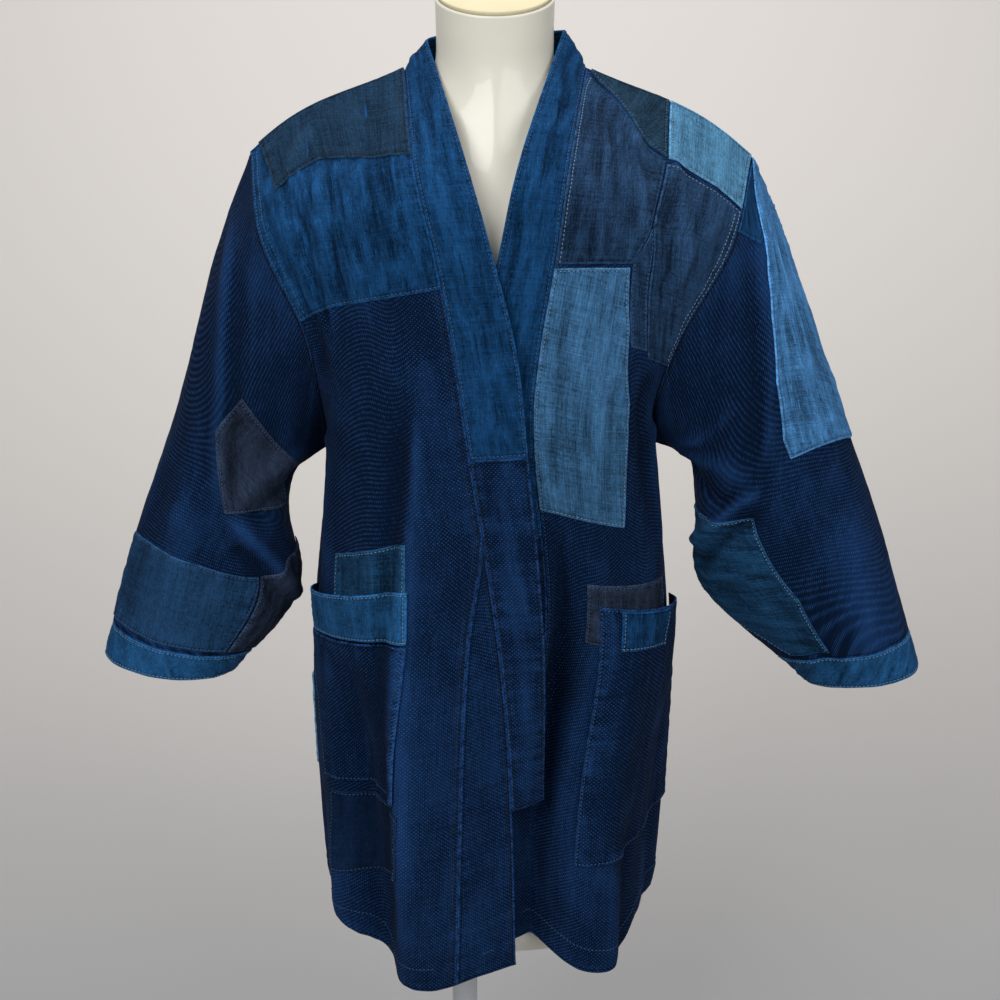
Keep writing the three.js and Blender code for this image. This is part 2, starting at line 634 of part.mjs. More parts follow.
const FRONT_LEFT_PATCHES = [
  [
    'slub_patch_inner_left',
    [[0, 1.585], [0.425, 1.688], [0.475, 1.79], [0.52, 1.91], [0.02, 1.99], [0, 1.985]],
    COLOUR.darkSlub,
  ],
  [
    'slub_patch_outer_left',
    [[0.7, 1.43], [1, 1.45], [1, 1.905], [0.53, 1.908], [0.49, 1.795]],
    COLOUR.darkSlub,
  ],
  ['grey_shoulder_patch_left', [[0.03, 1.994], [0.525, 1.916], [0.5, 2], [0.03, 2]], COLOUR.greenGrey],
  ['blue_shoulder_patch_left', [[0.535, 1.915], [1, 1.911], [1, 2], [0.505, 2]], COLOUR.lightBlue],
  [
    'chambray_patch_left',
    [[0, 0.89], [0.41, 0.88], [0.46, 0.98], [0.55, 1.23], [0.51, 1.5], [0.42, 1.675], [0, 1.575]],
    COLOUR.chambray,
  ],
  [
    'strip_patch_left',
    [[0.535, 1.445], [0.68, 1.455], [0.572, 1.64], [0.482, 1.79], [0.428, 1.692]],
    COLOUR.darkSlub,
  ],
  ['pocket_backing_left', [[0.19, 0.69], [0.66, 0.7], [0.7, 0.8], [0.2, 0.79]], COLOUR.charcoal],
];

const SLEEVE_RIGHT_PATCHES = [
  [
    'charcoal_patch_right',
    [[0.24, 0.28], [0.44, 0.2], [0.45, 0.42], [0.27, 0.57], [0.21, 0.41]],
    COLOUR.charcoal,
  ],
  ['denim_patch_right', [[0.03, 0.735], [0.35, 0.7], [0.35, 0.915], [0.03, 0.915]], COLOUR.denim],
  [
    'under_sleeve_right',
    [[0.355, 0.7], [0.44, 0.62], [0.55, 0.6], [0.55, 0.915], [0.355, 0.915]],
    COLOUR.charcoal,
  ],
];

const SLEEVE_LEFT_PATCHES = [
  [
    'long_patch_left',
    [
      [-0.12, 0.004], [0, 0.004], [0.135, 0.205], [0.195, 0.31],
      [0.22, 0.43], [0.215, 0.48], [0.035, 0.55], [-0.12, 0.56],
    ],
    COLOUR.midBlueCrinkle,
  ],
  ['small_strip_left', [[0.006, 0.004], [0.064, 0.004], [0.062, 0.08], [0.055, 0.08]], COLOUR.midBlueCrinkle],
  [
    'under_sleeve_left',
    [[0.31, 0.56], [0.27, 0.79], [0.285, 0.915], [0.38, 0.915], [0.5, 0.74], [0.5, 0.46]],
    COLOUR.chambray,
  ],
];

function addPatches(triangles, patches) {
  for (const [name, outline, colour, lift] of patches) addPatch(name, triangles, outline, colour, lift);
}

// A pocket lies on its panel along its sides and bottom, and stands open at its mouth.
const POCKETS = {
  [RIGHT]: { inner: 0.27, outer: 0.82, mouth: 0.79, depth: 0.3, gape: 16 },
  [LEFT]: { inner: 0.25, outer: 0.92, mouth: 0.76, depth: 0.3, gape: 12 },
};

function pocketLift(pocket) {
  return ({ u, v }) => {
    const across = clamp01((u - pocket.inner) / (pocket.outer - pocket.inner));
    const nearMouth = clamp01(1 - (pocket.mouth - v) / pocket.depth);
    return SECOND_LAYER + pocket.gape * Math.sin(Math.PI * across) * nearMouth ** 2;
  };
}

function addPockets(frontTriangles) {
  const rightLift = pocketLift(POCKETS[RIGHT]);
  const leftLift = pocketLift(POCKETS[LEFT]);
  const pouchRight = [[0.33, 0.41], [0.66, 0.405], [0.79, 0.698], [0.28, 0.711]];
  const bandRight = [[0.28, 0.715], [0.79, 0.702], [0.82, 0.775], [0.27, 0.8]];
  const pouchLeft = [[0.26, 0.295], [0.92, 0.335], [0.92, 0.76], [0.25, 0.76]];
  const onPouch = (corner) => leftLift(corner) + POCKET_CLOTH + LIFT;
  const patchOnPocket = [[0.33, 0.685], [0.58, 0.69], [0.6, 0.757], [0.34, 0.757]];
  addPatch('pocket_right', frontTriangles[RIGHT], pouchRight, COLOUR.navySashiko, rightLift, POCKET_CLOTH);
  addPatch('pocket_band_right', frontTriangles[RIGHT], bandRight, COLOUR.lightBlue, rightLift, POCKET_CLOTH);
  addPatch('pocket_left', frontTriangles[LEFT], pouchLeft, COLOUR.navySashiko, leftLift, POCKET_CLOTH);
  addPatch('pocket_patch_left', frontTriangles[LEFT], patchOnPocket, COLOUR.midBlueCrinkle, onPouch);
}

// ---------------------------------------------------------------- dress form and stand

// A closed solid through rings of points, all with the same number of points.
function loft(rings) {
  const count = rings[0].length;
  const positions = rings.flat(2);
  const index = [];
  for (let ring = 0; ring < rings.length - 1; ring += 1) {
    for (let i = 0; i < count; i += 1) {
      const a = ring * count + i;
      const b = ring * count + ((i + 1) % count);
      index.push(a, b, b + count, a, b + count, a + count);
    }
  }
  const top = (rings.length - 1) * count;
  for (let i = 1; i < count - 1; i += 1) {
    index.push(0, i + 1, i, top, top + i, top + i + 1);
  }
  const geometry = new THREE.BufferGeometry();
  geometry.setAttribute('position', new THREE.Float32BufferAttribute(positions, 3));
  geometry.setIndex(index);
  geometry.computeVertexNormals();
  return geometry;
}

// One level of the form: half an oval in front and half of another behind.
function formRing(halfWidth, frontDepth, backDepth, roundness, height) {
  const count = 32;
  const reach = (value) => Math.sign(value) * Math.abs(value) ** (2 / roundness);
  return Array.from({ length: count }, (_, i) => {
    const angle = (2 * Math.PI * i) / count;
    const depth = Math.sin(angle) < 0 ? frontDepth : backDepth;
    const y = depth * reach(Math.sin(angle));
    return [FORM_CENTRE_X + halfWidth * reach(Math.cos(angle)), y, height(y)];
  });
}

const neckTopHeight = (y) => NECK_TOP.z + NECK_TOP.slope * y;

function addDressForm() {
  const rings = FORM_SECTIONS.map(([z, ...sizes]) => formRing(...sizes, () => z));
  rings.push(formRing(NECK_TOP.halfWidth, NECK_TOP.front, NECK_TOP.back, 2, neckTopHeight));
  addMesh('dress_form', loft(rings), COLOUR.form, 0.3);
}

function addNeckCap() {
  const capRing = (lift) => formRing(
    NECK_TOP.halfWidth - NECK_CAP.inset,
    NECK_TOP.front - NECK_CAP.inset,
    NECK_TOP.back - NECK_CAP.inset,
    2,
    (y) => neckTopHeight(y) + lift,
  );
  addMesh('neck_cap', loft([capRing(SEAM_GAP), capRing(SEAM_GAP + NECK_CAP.thickness)]), COLOUR.formCap, 0.8);
}

// A solid turned about a vertical line through x, from a profile of [radius, height].
function turned(profile, x) {
  const outline = profile.map(([radius, height]) => new THREE.Vector2(radius, height));
  const geometry = new THREE.LatheGeometry(outline, 40);
  geometry.rotateX(Math.PI / 2);
  geometry.translate(x, 0, 0);
  return geometry;
}

function addStand() {
  const { radius, thickness, chamfer } = BASE;
  const baseProfile = [
    [0, 0], [radius - chamfer, 0], [radius, chamfer],
    [radius, thickness - chamfer], [radius - chamfer, thickness], [0, thickness],
  ];
  addMesh('stand_base', turned(baseProfile, 0), COLOUR.stand, 0.45);
  const poleFoot = thickness + SEAM_GAP;
  const flangeTop = FORM_BOTTOM - SEAM_GAP;
  const flangeUnder = flangeTop - POLE.flangeThickness;
  const poleProfile = [
    [0, poleFoot], [POLE.radius, poleFoot], [POLE.radius, flangeUnder],
    [POLE.flangeRadius, flangeUnder], [POLE.flangeRadius, flangeTop], [0, flangeTop],
  ];
  addMesh('stand_pole', turned(poleProfile, POLE.x), COLOUR.stand, 0.35);
}

// ---------------------------------------------------------------- the whole jacket

const CUFF_ROWS = [CUFF_START, 1];

const frontTriangles = {
  [RIGHT]: addFront('front_right', RIGHT, (v) => (v <= WEDGE_TOP ? wedgeWidth(v) : 0)),
  [LEFT]: addFront('front_left', LEFT, () => 0),
};
addWedge();
addBack();
addCollar('collar_lower_right', RIGHT, BAND_END, BAND_COLOUR_CHANGE[RIGHT], COLOUR.navySashiko);
addCollar('collar_upper_right', RIGHT, BAND_COLOUR_CHANGE[RIGHT], 3, COLOUR.midBlueCrinkle);
addCollar('collar_lower_left', LEFT, BAND_END, BAND_COLOUR_CHANGE[LEFT], COLOUR.navySashiko);
addCollar('collar_upper_left', LEFT, BAND_COLOUR_CHANGE[LEFT], 3, COLOUR.midBlueCrinkle);
addPatches(frontTriangles[RIGHT], FRONT_RIGHT_PATCHES);
addPatches(frontTriangles[LEFT], FRONT_LEFT_PATCHES);
addPockets(frontTriangles);
const sleeveRight = addSleeve('sleeve_right', RIGHT, SLEEVE_ROWS, BODY_CLOTH, COLOUR.navySashiko);
const sleeveLeft = addSleeve('sleeve_left', LEFT, SLEEVE_ROWS, BODY_CLOTH, COLOUR.navySashiko);
addPatches(unrolled(sleeveRight), SLEEVE_RIGHT_PATCHES);
addPatches(unrolled(sleeveLeft), SLEEVE_LEFT_PATCHES);
addSleeve('cuff_right', RIGHT, CUFF_ROWS, CUFF_CLOTH, COLOUR.lightBlue);
addSleeve('cuff_left', LEFT, CUFF_ROWS, CUFF_CLOTH, COLOUR.lightBlue);
addDressForm();
addNeckCap();
addStand();

export default jacket;
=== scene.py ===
"""Patched boro jacket on a limbless dress form: cloths, stitches, form, stand and stage.

Every cloth piece is a wall on a surface of two numbers, in millimetres. On the fronts and
the back u runs across and v up (0 hem, 1 armpit, 2 shoulder seam). On a sleeve u runs once
round from the shoulder by the front and v from the armhole (0) to the cuff (1). On the
collar band u runs from its seam (0) to its free edge (1) and v is the front's, with 2 to 3
round the back of the neck.
"""

import math

import bpy
import numpy as np
from bpy.props import FloatProperty, FloatVectorProperty, IntProperty, PointerProperty
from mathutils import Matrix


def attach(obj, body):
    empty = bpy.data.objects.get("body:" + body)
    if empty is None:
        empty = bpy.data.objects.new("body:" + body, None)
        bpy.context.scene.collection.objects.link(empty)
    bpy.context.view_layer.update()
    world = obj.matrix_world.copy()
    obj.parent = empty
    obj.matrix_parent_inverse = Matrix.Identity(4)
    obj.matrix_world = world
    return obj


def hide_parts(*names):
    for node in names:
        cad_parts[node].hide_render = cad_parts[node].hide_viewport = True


bl_info = {
    "name": "Patched boro jacket",
    "version": (1, 0, 0),
    "blender": (4, 2, 0),
    "location": "View3D > Sidebar > Boro jacket",
    "description": "Builds a patched boro jacket on a dress form, with its stitches and stage",
    "category": "Object",
}

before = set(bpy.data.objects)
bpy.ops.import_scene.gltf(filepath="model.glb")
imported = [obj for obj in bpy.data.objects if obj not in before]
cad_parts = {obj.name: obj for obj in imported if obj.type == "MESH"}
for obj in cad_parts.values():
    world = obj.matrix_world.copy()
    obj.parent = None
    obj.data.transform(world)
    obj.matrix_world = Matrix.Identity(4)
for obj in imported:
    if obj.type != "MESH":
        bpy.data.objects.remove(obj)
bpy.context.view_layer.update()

MM = 0.001
RIGHT, LEFT = -1, 1  # the wearer's sides: right is at -X

# ------------------------------------------------------------ dimensions of the cut, in mm

LEVELS = [0, 0.35, 0.7, 1, 1.3, 1.6, 1.85, 2]
COLLAR_SEAM = {
    RIGHT: [
        [17, -158, 322], [13, -160, 498], [-1, -160, 680], [-29, -156, 870],
        [-43, -150, 965], [-60, -138, 1058], [-83, -102, 1150], [-95, 12, 1228],
    ],
    LEFT: [
        [4, -126, 332], [8, -126, 498], [47, -122, 680], [33, -142, 880],
        [37, -143, 965], [53, -132, 1062], [66, -104, 1148], [86, 12, 1230],
    ],
}
SIDE_SEAM = {
    RIGHT: [[-185, 0, 347], [-197, 0, 500], [-198, 0, 660], [-178, 0, 845]],
    LEFT: [[168, 0, 337], [178, 0, 485], [178, 0, 645], [155, 0, 850]],
}
SHOULDER_POINT = {RIGHT: [-251, 8, 1146], LEFT: [253, 8, 1143]}
SHOULDER_RISE = 12  # how far the shoulder seam bows up between the neck and the sleeve
ARMHOLE = {
    "front": {
        RIGHT: [[-182, -60, 915], [-194, -92, 990], [-236, -67, 1076]],
        LEFT: [[158, -62, 912], [180, -92, 985], [229, -66, 1068]],
    },
    "back": {
        RIGHT: [[-186, 56, 918], [-200, 86, 995], [-238, 62, 1080]],
        LEFT: [[165, 56, 916], [188, 86, 992], [232, 62, 1072]],
    },
}
BACK_CENTRE = [
    [-5, 120, 345], [-5, 118, 500], [-5, 108, 670], [-5, 112, 860],
    [-5, 120, 965], [-5, 118, 1060], [-5, 102, 1150], [-5, 70, 1212],
]
SECTION_TURN = [90, 90, 90, 90, 76, 64, 54, 50]
FRONT_FULLNESS = [10, 12, 14, 14, 8, 4, 0, 0]
BACK_FULLNESS = [14, 14, 12, 10, 6, 4, 0, 0]
NECK_U = 0.38
HEM_HEIGHT = {
    RIGHT: ([0, 0.12, 0.27, 0.42, 0.55, 0.7, 0.85, 1], [322, 310, 297, 299, 330, 352, 360, 349]),
    LEFT: ([0, 0.12, 0.3, 0.5, 0.62, 0.8, 1], [332, 328, 301, 302, 325, 345, 337]),
}
# Hanging folds: u at the hem and at the top, half width in u, push out, v where it ends, fade.
FOLDS = {
    RIGHT: [
        (0.27, 0.3, 0.13, 22, 0.95, 0.5),
        (0.475, 0.5, 0.07, -22, 0.75, 0.35),
        (0.62, 0.62, 0.1, 10, 0.7, 0.4),
    ],
    LEFT: [
        (0.14, 0.1, 0.075, -28, 0.8, 0.25),
        (0.36, 0.36, 0.13, 22, 0.9, 0.5),
        (0.7, 0.72, 0.1, -10, 0.7, 0.4),
    ],
    "back": [
        (0, 0, 0.1, 8, 0.9, 0.5),
        (0.28, 0.25, 0.1, -9, 0.9, 0.6),
        (0.55, 0.5, 0.12, 10, 0.9, 0.6),
        (0.8, 0.8, 0.08, -8, 0.7, 0.4),
    ],
}
WEDGE_V, WEDGE_U = [0, 0.35, 0.7, 0.85], [0.19, 0.16, 0.1, 0.012]
BAND_FREE_EDGE = {
    RIGHT: [
        [46, -140, 502], [44, -161, 683], [27, -163, 875], [16, -156, 975],
        [-7, -142, 1068], [-37, -100, 1166], [-73, 8, 1257],
    ],
    LEFT: [
        [-30, -132, 500], [-8, -126, 683], [-24, -140, 885], [-19, -140, 972],
        [1, -132, 1078], [22, -106, 1164], [64, 8, 1267],
    ],
}
BAND_FREE_BACK = [-5, 60, 1262]
BAND_END = 0.35
BAND_CHANGE = {RIGHT: 1.0, LEFT: 0.85}
SLEEVE_STATIONS = [0, 0.25, 0.5, 0.75, 1]
SLEEVE_OUTER = {
    RIGHT: [[-251, 8, 1146], [-296, 2, 1030], [-337, -5, 880], [-386, -8, 748], [-425, -8, 617]],
    LEFT: [[253, 8, 1143], [303, 2, 1025], [353, -5, 885], [405, -8, 745], [451, -8, 604]],
}
SLEEVE_INNER = {
    RIGHT: [[-178, 0, 845], [-214, -5, 815], [-223, -6, 765], [-217, -6, 684], [-282, -6, 596]],
    LEFT: [[155, 0, 850], [198, -5, 828], [207, -6, 770], [218, -6, 690], [328, -6, 586]],
}
SLEEVE_HALF_DEPTH = [88, 80, 74, 70, 58]
ARMHOLE_REACH = 0.45
CUFF_START = 0.93
BODY_CLOTH, BAND_CLOTH, CUFF_CLOTH, PATCH_CLOTH, POCKET_CLOTH = 2.0, 3.0, 2.4, 1.2, 1.6
HEM_DEPTH = 30.0
FIRST_LAYER, SECOND_LAYER = 0.5, 2.3  # how high a patch lies on its panel, or on a patch

FORM_X = -5
# Dress form: height, half width, front depth, back depth, roundness (2 is an ellipse).
FORM_SECTIONS = np.array([
    [286, 118, 62, 78, 2], [291, 140, 78, 94, 2], [303, 158, 88, 103, 2], [322, 166, 93, 107, 2],
    [400, 166, 94, 108, 2], [520, 158, 92, 98, 2], [650, 144, 86, 82, 2], [760, 142, 92, 86, 2],
    [860, 146, 106, 96, 2], [930, 156, 114, 104, 2], [1000, 176, 114, 106, 2],
    [1050, 198, 108, 103, 2], [1090, 212, 96, 94, 1.9], [1118, 216, 84, 84, 1.7],
    [1136, 210, 76, 77, 1.5], [1152, 190, 70, 70, 1.35], [1170, 158, 64, 62, 1.3],
    [1188, 124, 59, 56, 1.35], [1204, 90, 55, 52, 1.45], [1220, 67, 52, 49, 1.65],
    [1238, 59, 50, 47, 1.85], [1262, 58, 51, 47, 2],
])
NECK_TOP_Z, NECK_TOP_SIZES, NECK_SLOPE = 1300, (59, 53, 48), 0.34
BASE_RADIUS, BASE_THICKNESS = 175, 10
POLE_X, POLE_RADIUS, FLANGE_RADIUS, FLANGE_THICKNESS = -40, 14, 45, 6
SOLID_GAP = 0.3  # between solids that stand on each other
# The neck cap's rims from its underside to its middle: inset from the neck, height above it.
CAP_RIMS = [(1.5, 0.3), (1.5, 3.1), (1.8, 3.8), (2.6, 4.3), (20, 4.3)]

# ------------------------------------------------------------ small mathematics


def ramp(t):
    """Smooth step: 0 below 0, 1 above 1, 3t² - 2t³ between."""
    t = np.clip(t, 0, 1)
    return t * t * (3 - 2 * t)


def unit(vectors):
    """Vectors scaled to length 1."""
    return vectors / np.maximum(np.linalg.norm(vectors, axis=-1, keepdims=True), 1e-9)


def spline(t, knots, values):
    """Cubic through values at rising knots, with slopes from the neighbouring knots."""
    k, p = np.asarray(knots, float), np.asarray(values, float)
    columns = p.reshape(len(k), -1)
    slope = np.empty_like(columns)
    slope[1:-1] = (columns[2:] - columns[:-2]) / (k[2:] - k[:-2])[:, None]
    slope[0] = (columns[1] - columns[0]) / (k[1] - k[0])
    slope[-1] = (columns[-1] - columns[-2]) / (k[-1] - k[-2])
    t = np.clip(np.asarray(t, float), k[0], k[-1])
    i = np.clip(np.searchsorted(k, t, side="right") - 1, 0, len(k) - 2)
    step = (k[i + 1] - k[i])[..., None]
    x = (t - k[i])[..., None] / step
    point = (2 * x**3 - 3 * x**2 + 1) * columns[i] + (x**3 - 2 * x**2 + x) * step * slope[i]
    point += (3 * x**2 - 2 * x**3) * columns[i + 1] + (x**3 - x**2) * step * slope[i + 1]
    return point if p.ndim > 1 else point[..., 0]


def noise(x, y, seed):
    """Smooth seeded noise from -1 to 1, with a random height on each whole x and y."""
    heights = np.random.default_rng(seed).uniform(-1, 1, (128, 128))
    i, j = np.floor(x).astype(int), np.floor(y).astype(int)
    fx, fy = ramp(x - i), ramp(y - j)

    def at(di, dj):
        return heights[(i + di) % 128, (j + dj) % 128]

    low = at(0, 0) * (1 - fx) + at(1, 0) * fx
    high = at(0, 1) * (1 - fx) + at(1, 1) * fx
    return low * (1 - fy) + high * fy


def crease(x, y, points, width, depth):
    """depth · exp(-(distance/width)²) from a smooth line, dying away at both its ends."""
    line = np.asarray(points, float)
    line = spline(np.linspace(0, len(line) - 1, 4 * len(line)), np.arange(len(line)), line)
    nearest, place = np.full(x.shape, 1e9), np.zeros(x.shape)
    for i, (a, b) in enumerate(zip(line[:-1], line[1:])):
        step = b - a
        t = np.clip(((x - a[0]) * step[0] + (y - a[1]) * step[1]) / (step @ step), 0, 1)
        distance = np.hypot(x - a[0] - t * step[0], y - a[1] - t * step[1])
        place = np.where(distance < nearest, (i + t) / (len(line) - 1), place)
        nearest = np.minimum(nearest, distance)
    return depth * np.exp(-((nearest / width) ** 2)) * ramp(place / 0.2) * ramp((1 - place) / 0.2)


# ------------------------------------------------------------ the garment's surfaces


def section(u, centre, side, turn, way):
    """Plan arc: x by sin(a·u)/sin(a), y by (1-cos(a·u))/(1-cos(a)), z straight; and outwards."""
    a = np.radians(turn)
    reach = side - centre
    across = np.sin(a * u) / np.sin(a)
    deep = (1 - np.cos(a * u)) / (1 - np.cos(a))
    dx = reach[..., 0] * np.cos(a * u) / np.sin(a)
    dy = reach[..., 1] * np.sin(a * u) / (1 - np.cos(a))
    outward = unit(np.stack([-dy * way, dx * way, 0 * dx], -1))
    return centre + reach * np.stack([across, deep, u], -1), outward


def fold_push(u, v, folds):
    """How far hanging folds push out: out · exp(-((u - at)/width)²), fading upwards."""
    push = 0 * u
    for hem, top, width, out, end, fade in folds:
        at = hem + (top - hem) * np.clip(v / end, 0, 1)
        push = push + out * np.exp(-(((u - at) / width) ** 2)) * ramp((end - v) / fade)
    return push


def side_edge(side, half, v):
    """The side seam up to the armpit, then one half of the armhole."""
    seam = spline(v, LEVELS[:4], SIDE_SEAM[side])
    hole = [SIDE_SEAM[side][-1], *ARMHOLE[half][side], SHOULDER_POINT[side]]
    return np.where((v <= 1)[..., None], seam, spline(v, LEVELS[3:], hole))


def shoulder_rise(t):
    """How far the shoulder seam lies above a straight line: rise · sin(π·t^1.5)."""
    return np.array([0, 0, SHOULDER_RISE]) * np.sin(np.pi * np.clip(t, 0, 1) ** 1.5)[..., None]


def front_base(side):
    """A front panel without wrinkles: an arc in plan, straight near the shoulder."""
    def at(u, v):
        u, v = np.broadcast_arrays(np.asarray(u, float), np.asarray(v, float))
        start, end = spline(v, LEVELS, COLLAR_SEAM[side]), side_edge(side, "front", v)
        arc, outward = section(u, start, end, spline(v, LEVELS, SECTION_TURN), -side)
        full = spline(v, LEVELS, FRONT_FULLNESS) * np.sin(np.pi * u) ** 2
        full = full + fold_push(u, v, FOLDS[side])
        straight = start + (end - start) * u[..., None]
        top = straight + shoulder_rise(u)
        point = arc + outward * full[..., None] + (top - arc) * ramp((v - 1.7) / 0.3)[..., None]
        hem = spline(u, *HEM_HEIGHT[side])
        point[..., 2] += (hem - straight[..., 2]) * np.clip(1 - v / 0.5, 0, 1) ** 1.5
        return point

    return at


def quarter_round(centre, side, t):
    """Quarter ellipse from a centre-line point towards a side point."""
    angle = np.asarray(t)[..., None] * np.pi / 2
    centre, side = np.asarray(centre, float), np.asarray(side, float)
    turn = np.concatenate([np.sin(angle), 1 - np.cos(angle), 1 - np.cos(angle)], -1)
    return centre + (side - centre) * turn


def back_base(u, v):
    """The back panel without wrinkles; its top edge goes round the neck."""
    u, v = np.broadcast_arrays(np.asarray(u, float), np.asarray(v, float))
    k, is_left = np.abs(u), (u >= 0)[..., None]
    spine = spline(v, LEVELS, BACK_CENTRE)
    edge = np.where(is_left, side_edge(LEFT, "back", v), side_edge(RIGHT, "back", v))
    arc, outward = section(k, spine, edge, spline(v, LEVELS, SECTION_TURN), np.where(u < 0, -1, 1))
    full = spline(v, LEVELS, BACK_FULLNESS) * np.sin(np.pi * k) ** 2
    full = full + fold_push(k, v, FOLDS["back"])
    tip = np.where(is_left, SHOULDER_POINT[LEFT], SHOULDER_POINT[RIGHT]).astype(float)
    neck = np.where(is_left, COLLAR_SEAM[LEFT][-1], COLLAR_SEAM[RIGHT][-1]).astype(float)
    top_arc, _ = section(k, np.array(BACK_CENTRE[-1], float), tip, SECTION_TURN[-1], 1)
    round_neck = quarter_round(BACK_CENTRE[-1], neck, k / NECK_U)
    t = (k - NECK_U) / (1 - NECK_U)
    straight = neck + (tip - neck) * t[..., None] + shoulder_rise(t)
    top = np.where((k < NECK_U)[..., None], round_neck, straight)
    return arc + outward * full[..., None] + (top - top_arc) * ramp((v - 1.5) / 0.5)[..., None]


def sleeve_base(side):
    """A sleeve without wrinkles: ellipses along the arm that blend into the armhole."""
    def ring(u, v):
        outer, inner = (spline(v, SLEEVE_STATIONS, t[side]) for t in (SLEEVE_OUTER, SLEEVE_INNER))
        point = (outer + inner) / 2 + (outer - inner) / 2 * np.cos(2 * np.pi * u)[..., None]
        point[..., 1] -= spline(v, SLEEVE_STATIONS, SLEEVE_HALF_DEPTH) * np.sin(2 * np.pi * u)
        return point

    def at(u, v):
        u, v = np.broadcast_arrays(np.asarray(u, float), np.asarray(v, float))
        turn = np.mod(u, 1)
        hole = np.where(
            (turn <= 0.5)[..., None],
            side_edge(side, "front", 2 - 2 * turn),
            side_edge(side, "back", 2 * turn),
        )
        felt = np.clip(1 - v / ARMHOLE_REACH, 0, 1) ** 2
        return ring(u, v) + (hole - ring(u, 0 * v)) * felt[..., None]

    return at


def collar_base(side):
    """The collar band, straight from its seam to its free edge."""
    def at(u, v):
        u, v = np.broadcast_arrays(np.asarray(u, float), np.asarray(v, float))
        seam = spline(v, LEVELS, COLLAR_SEAM[side])
        free = spline(v, LEVELS[1:], BAND_FREE_EDGE[side])
        behind = (v > 2)[..., None]
        t = np.clip(3 - v, 0, 1)
        seam = np.where(behind, quarter_round(BACK_CENTRE[-1], COLLAR_SEAM[side][-1], t), seam)
        free = np.where(behind, quarter_round(BAND_FREE_BACK, BAND_FREE_EDGE[side][-1], t), free)
        return seam + (free - seam) * u[..., None]

    return at


# ------------------------------------------------------------ folds and wrinkles

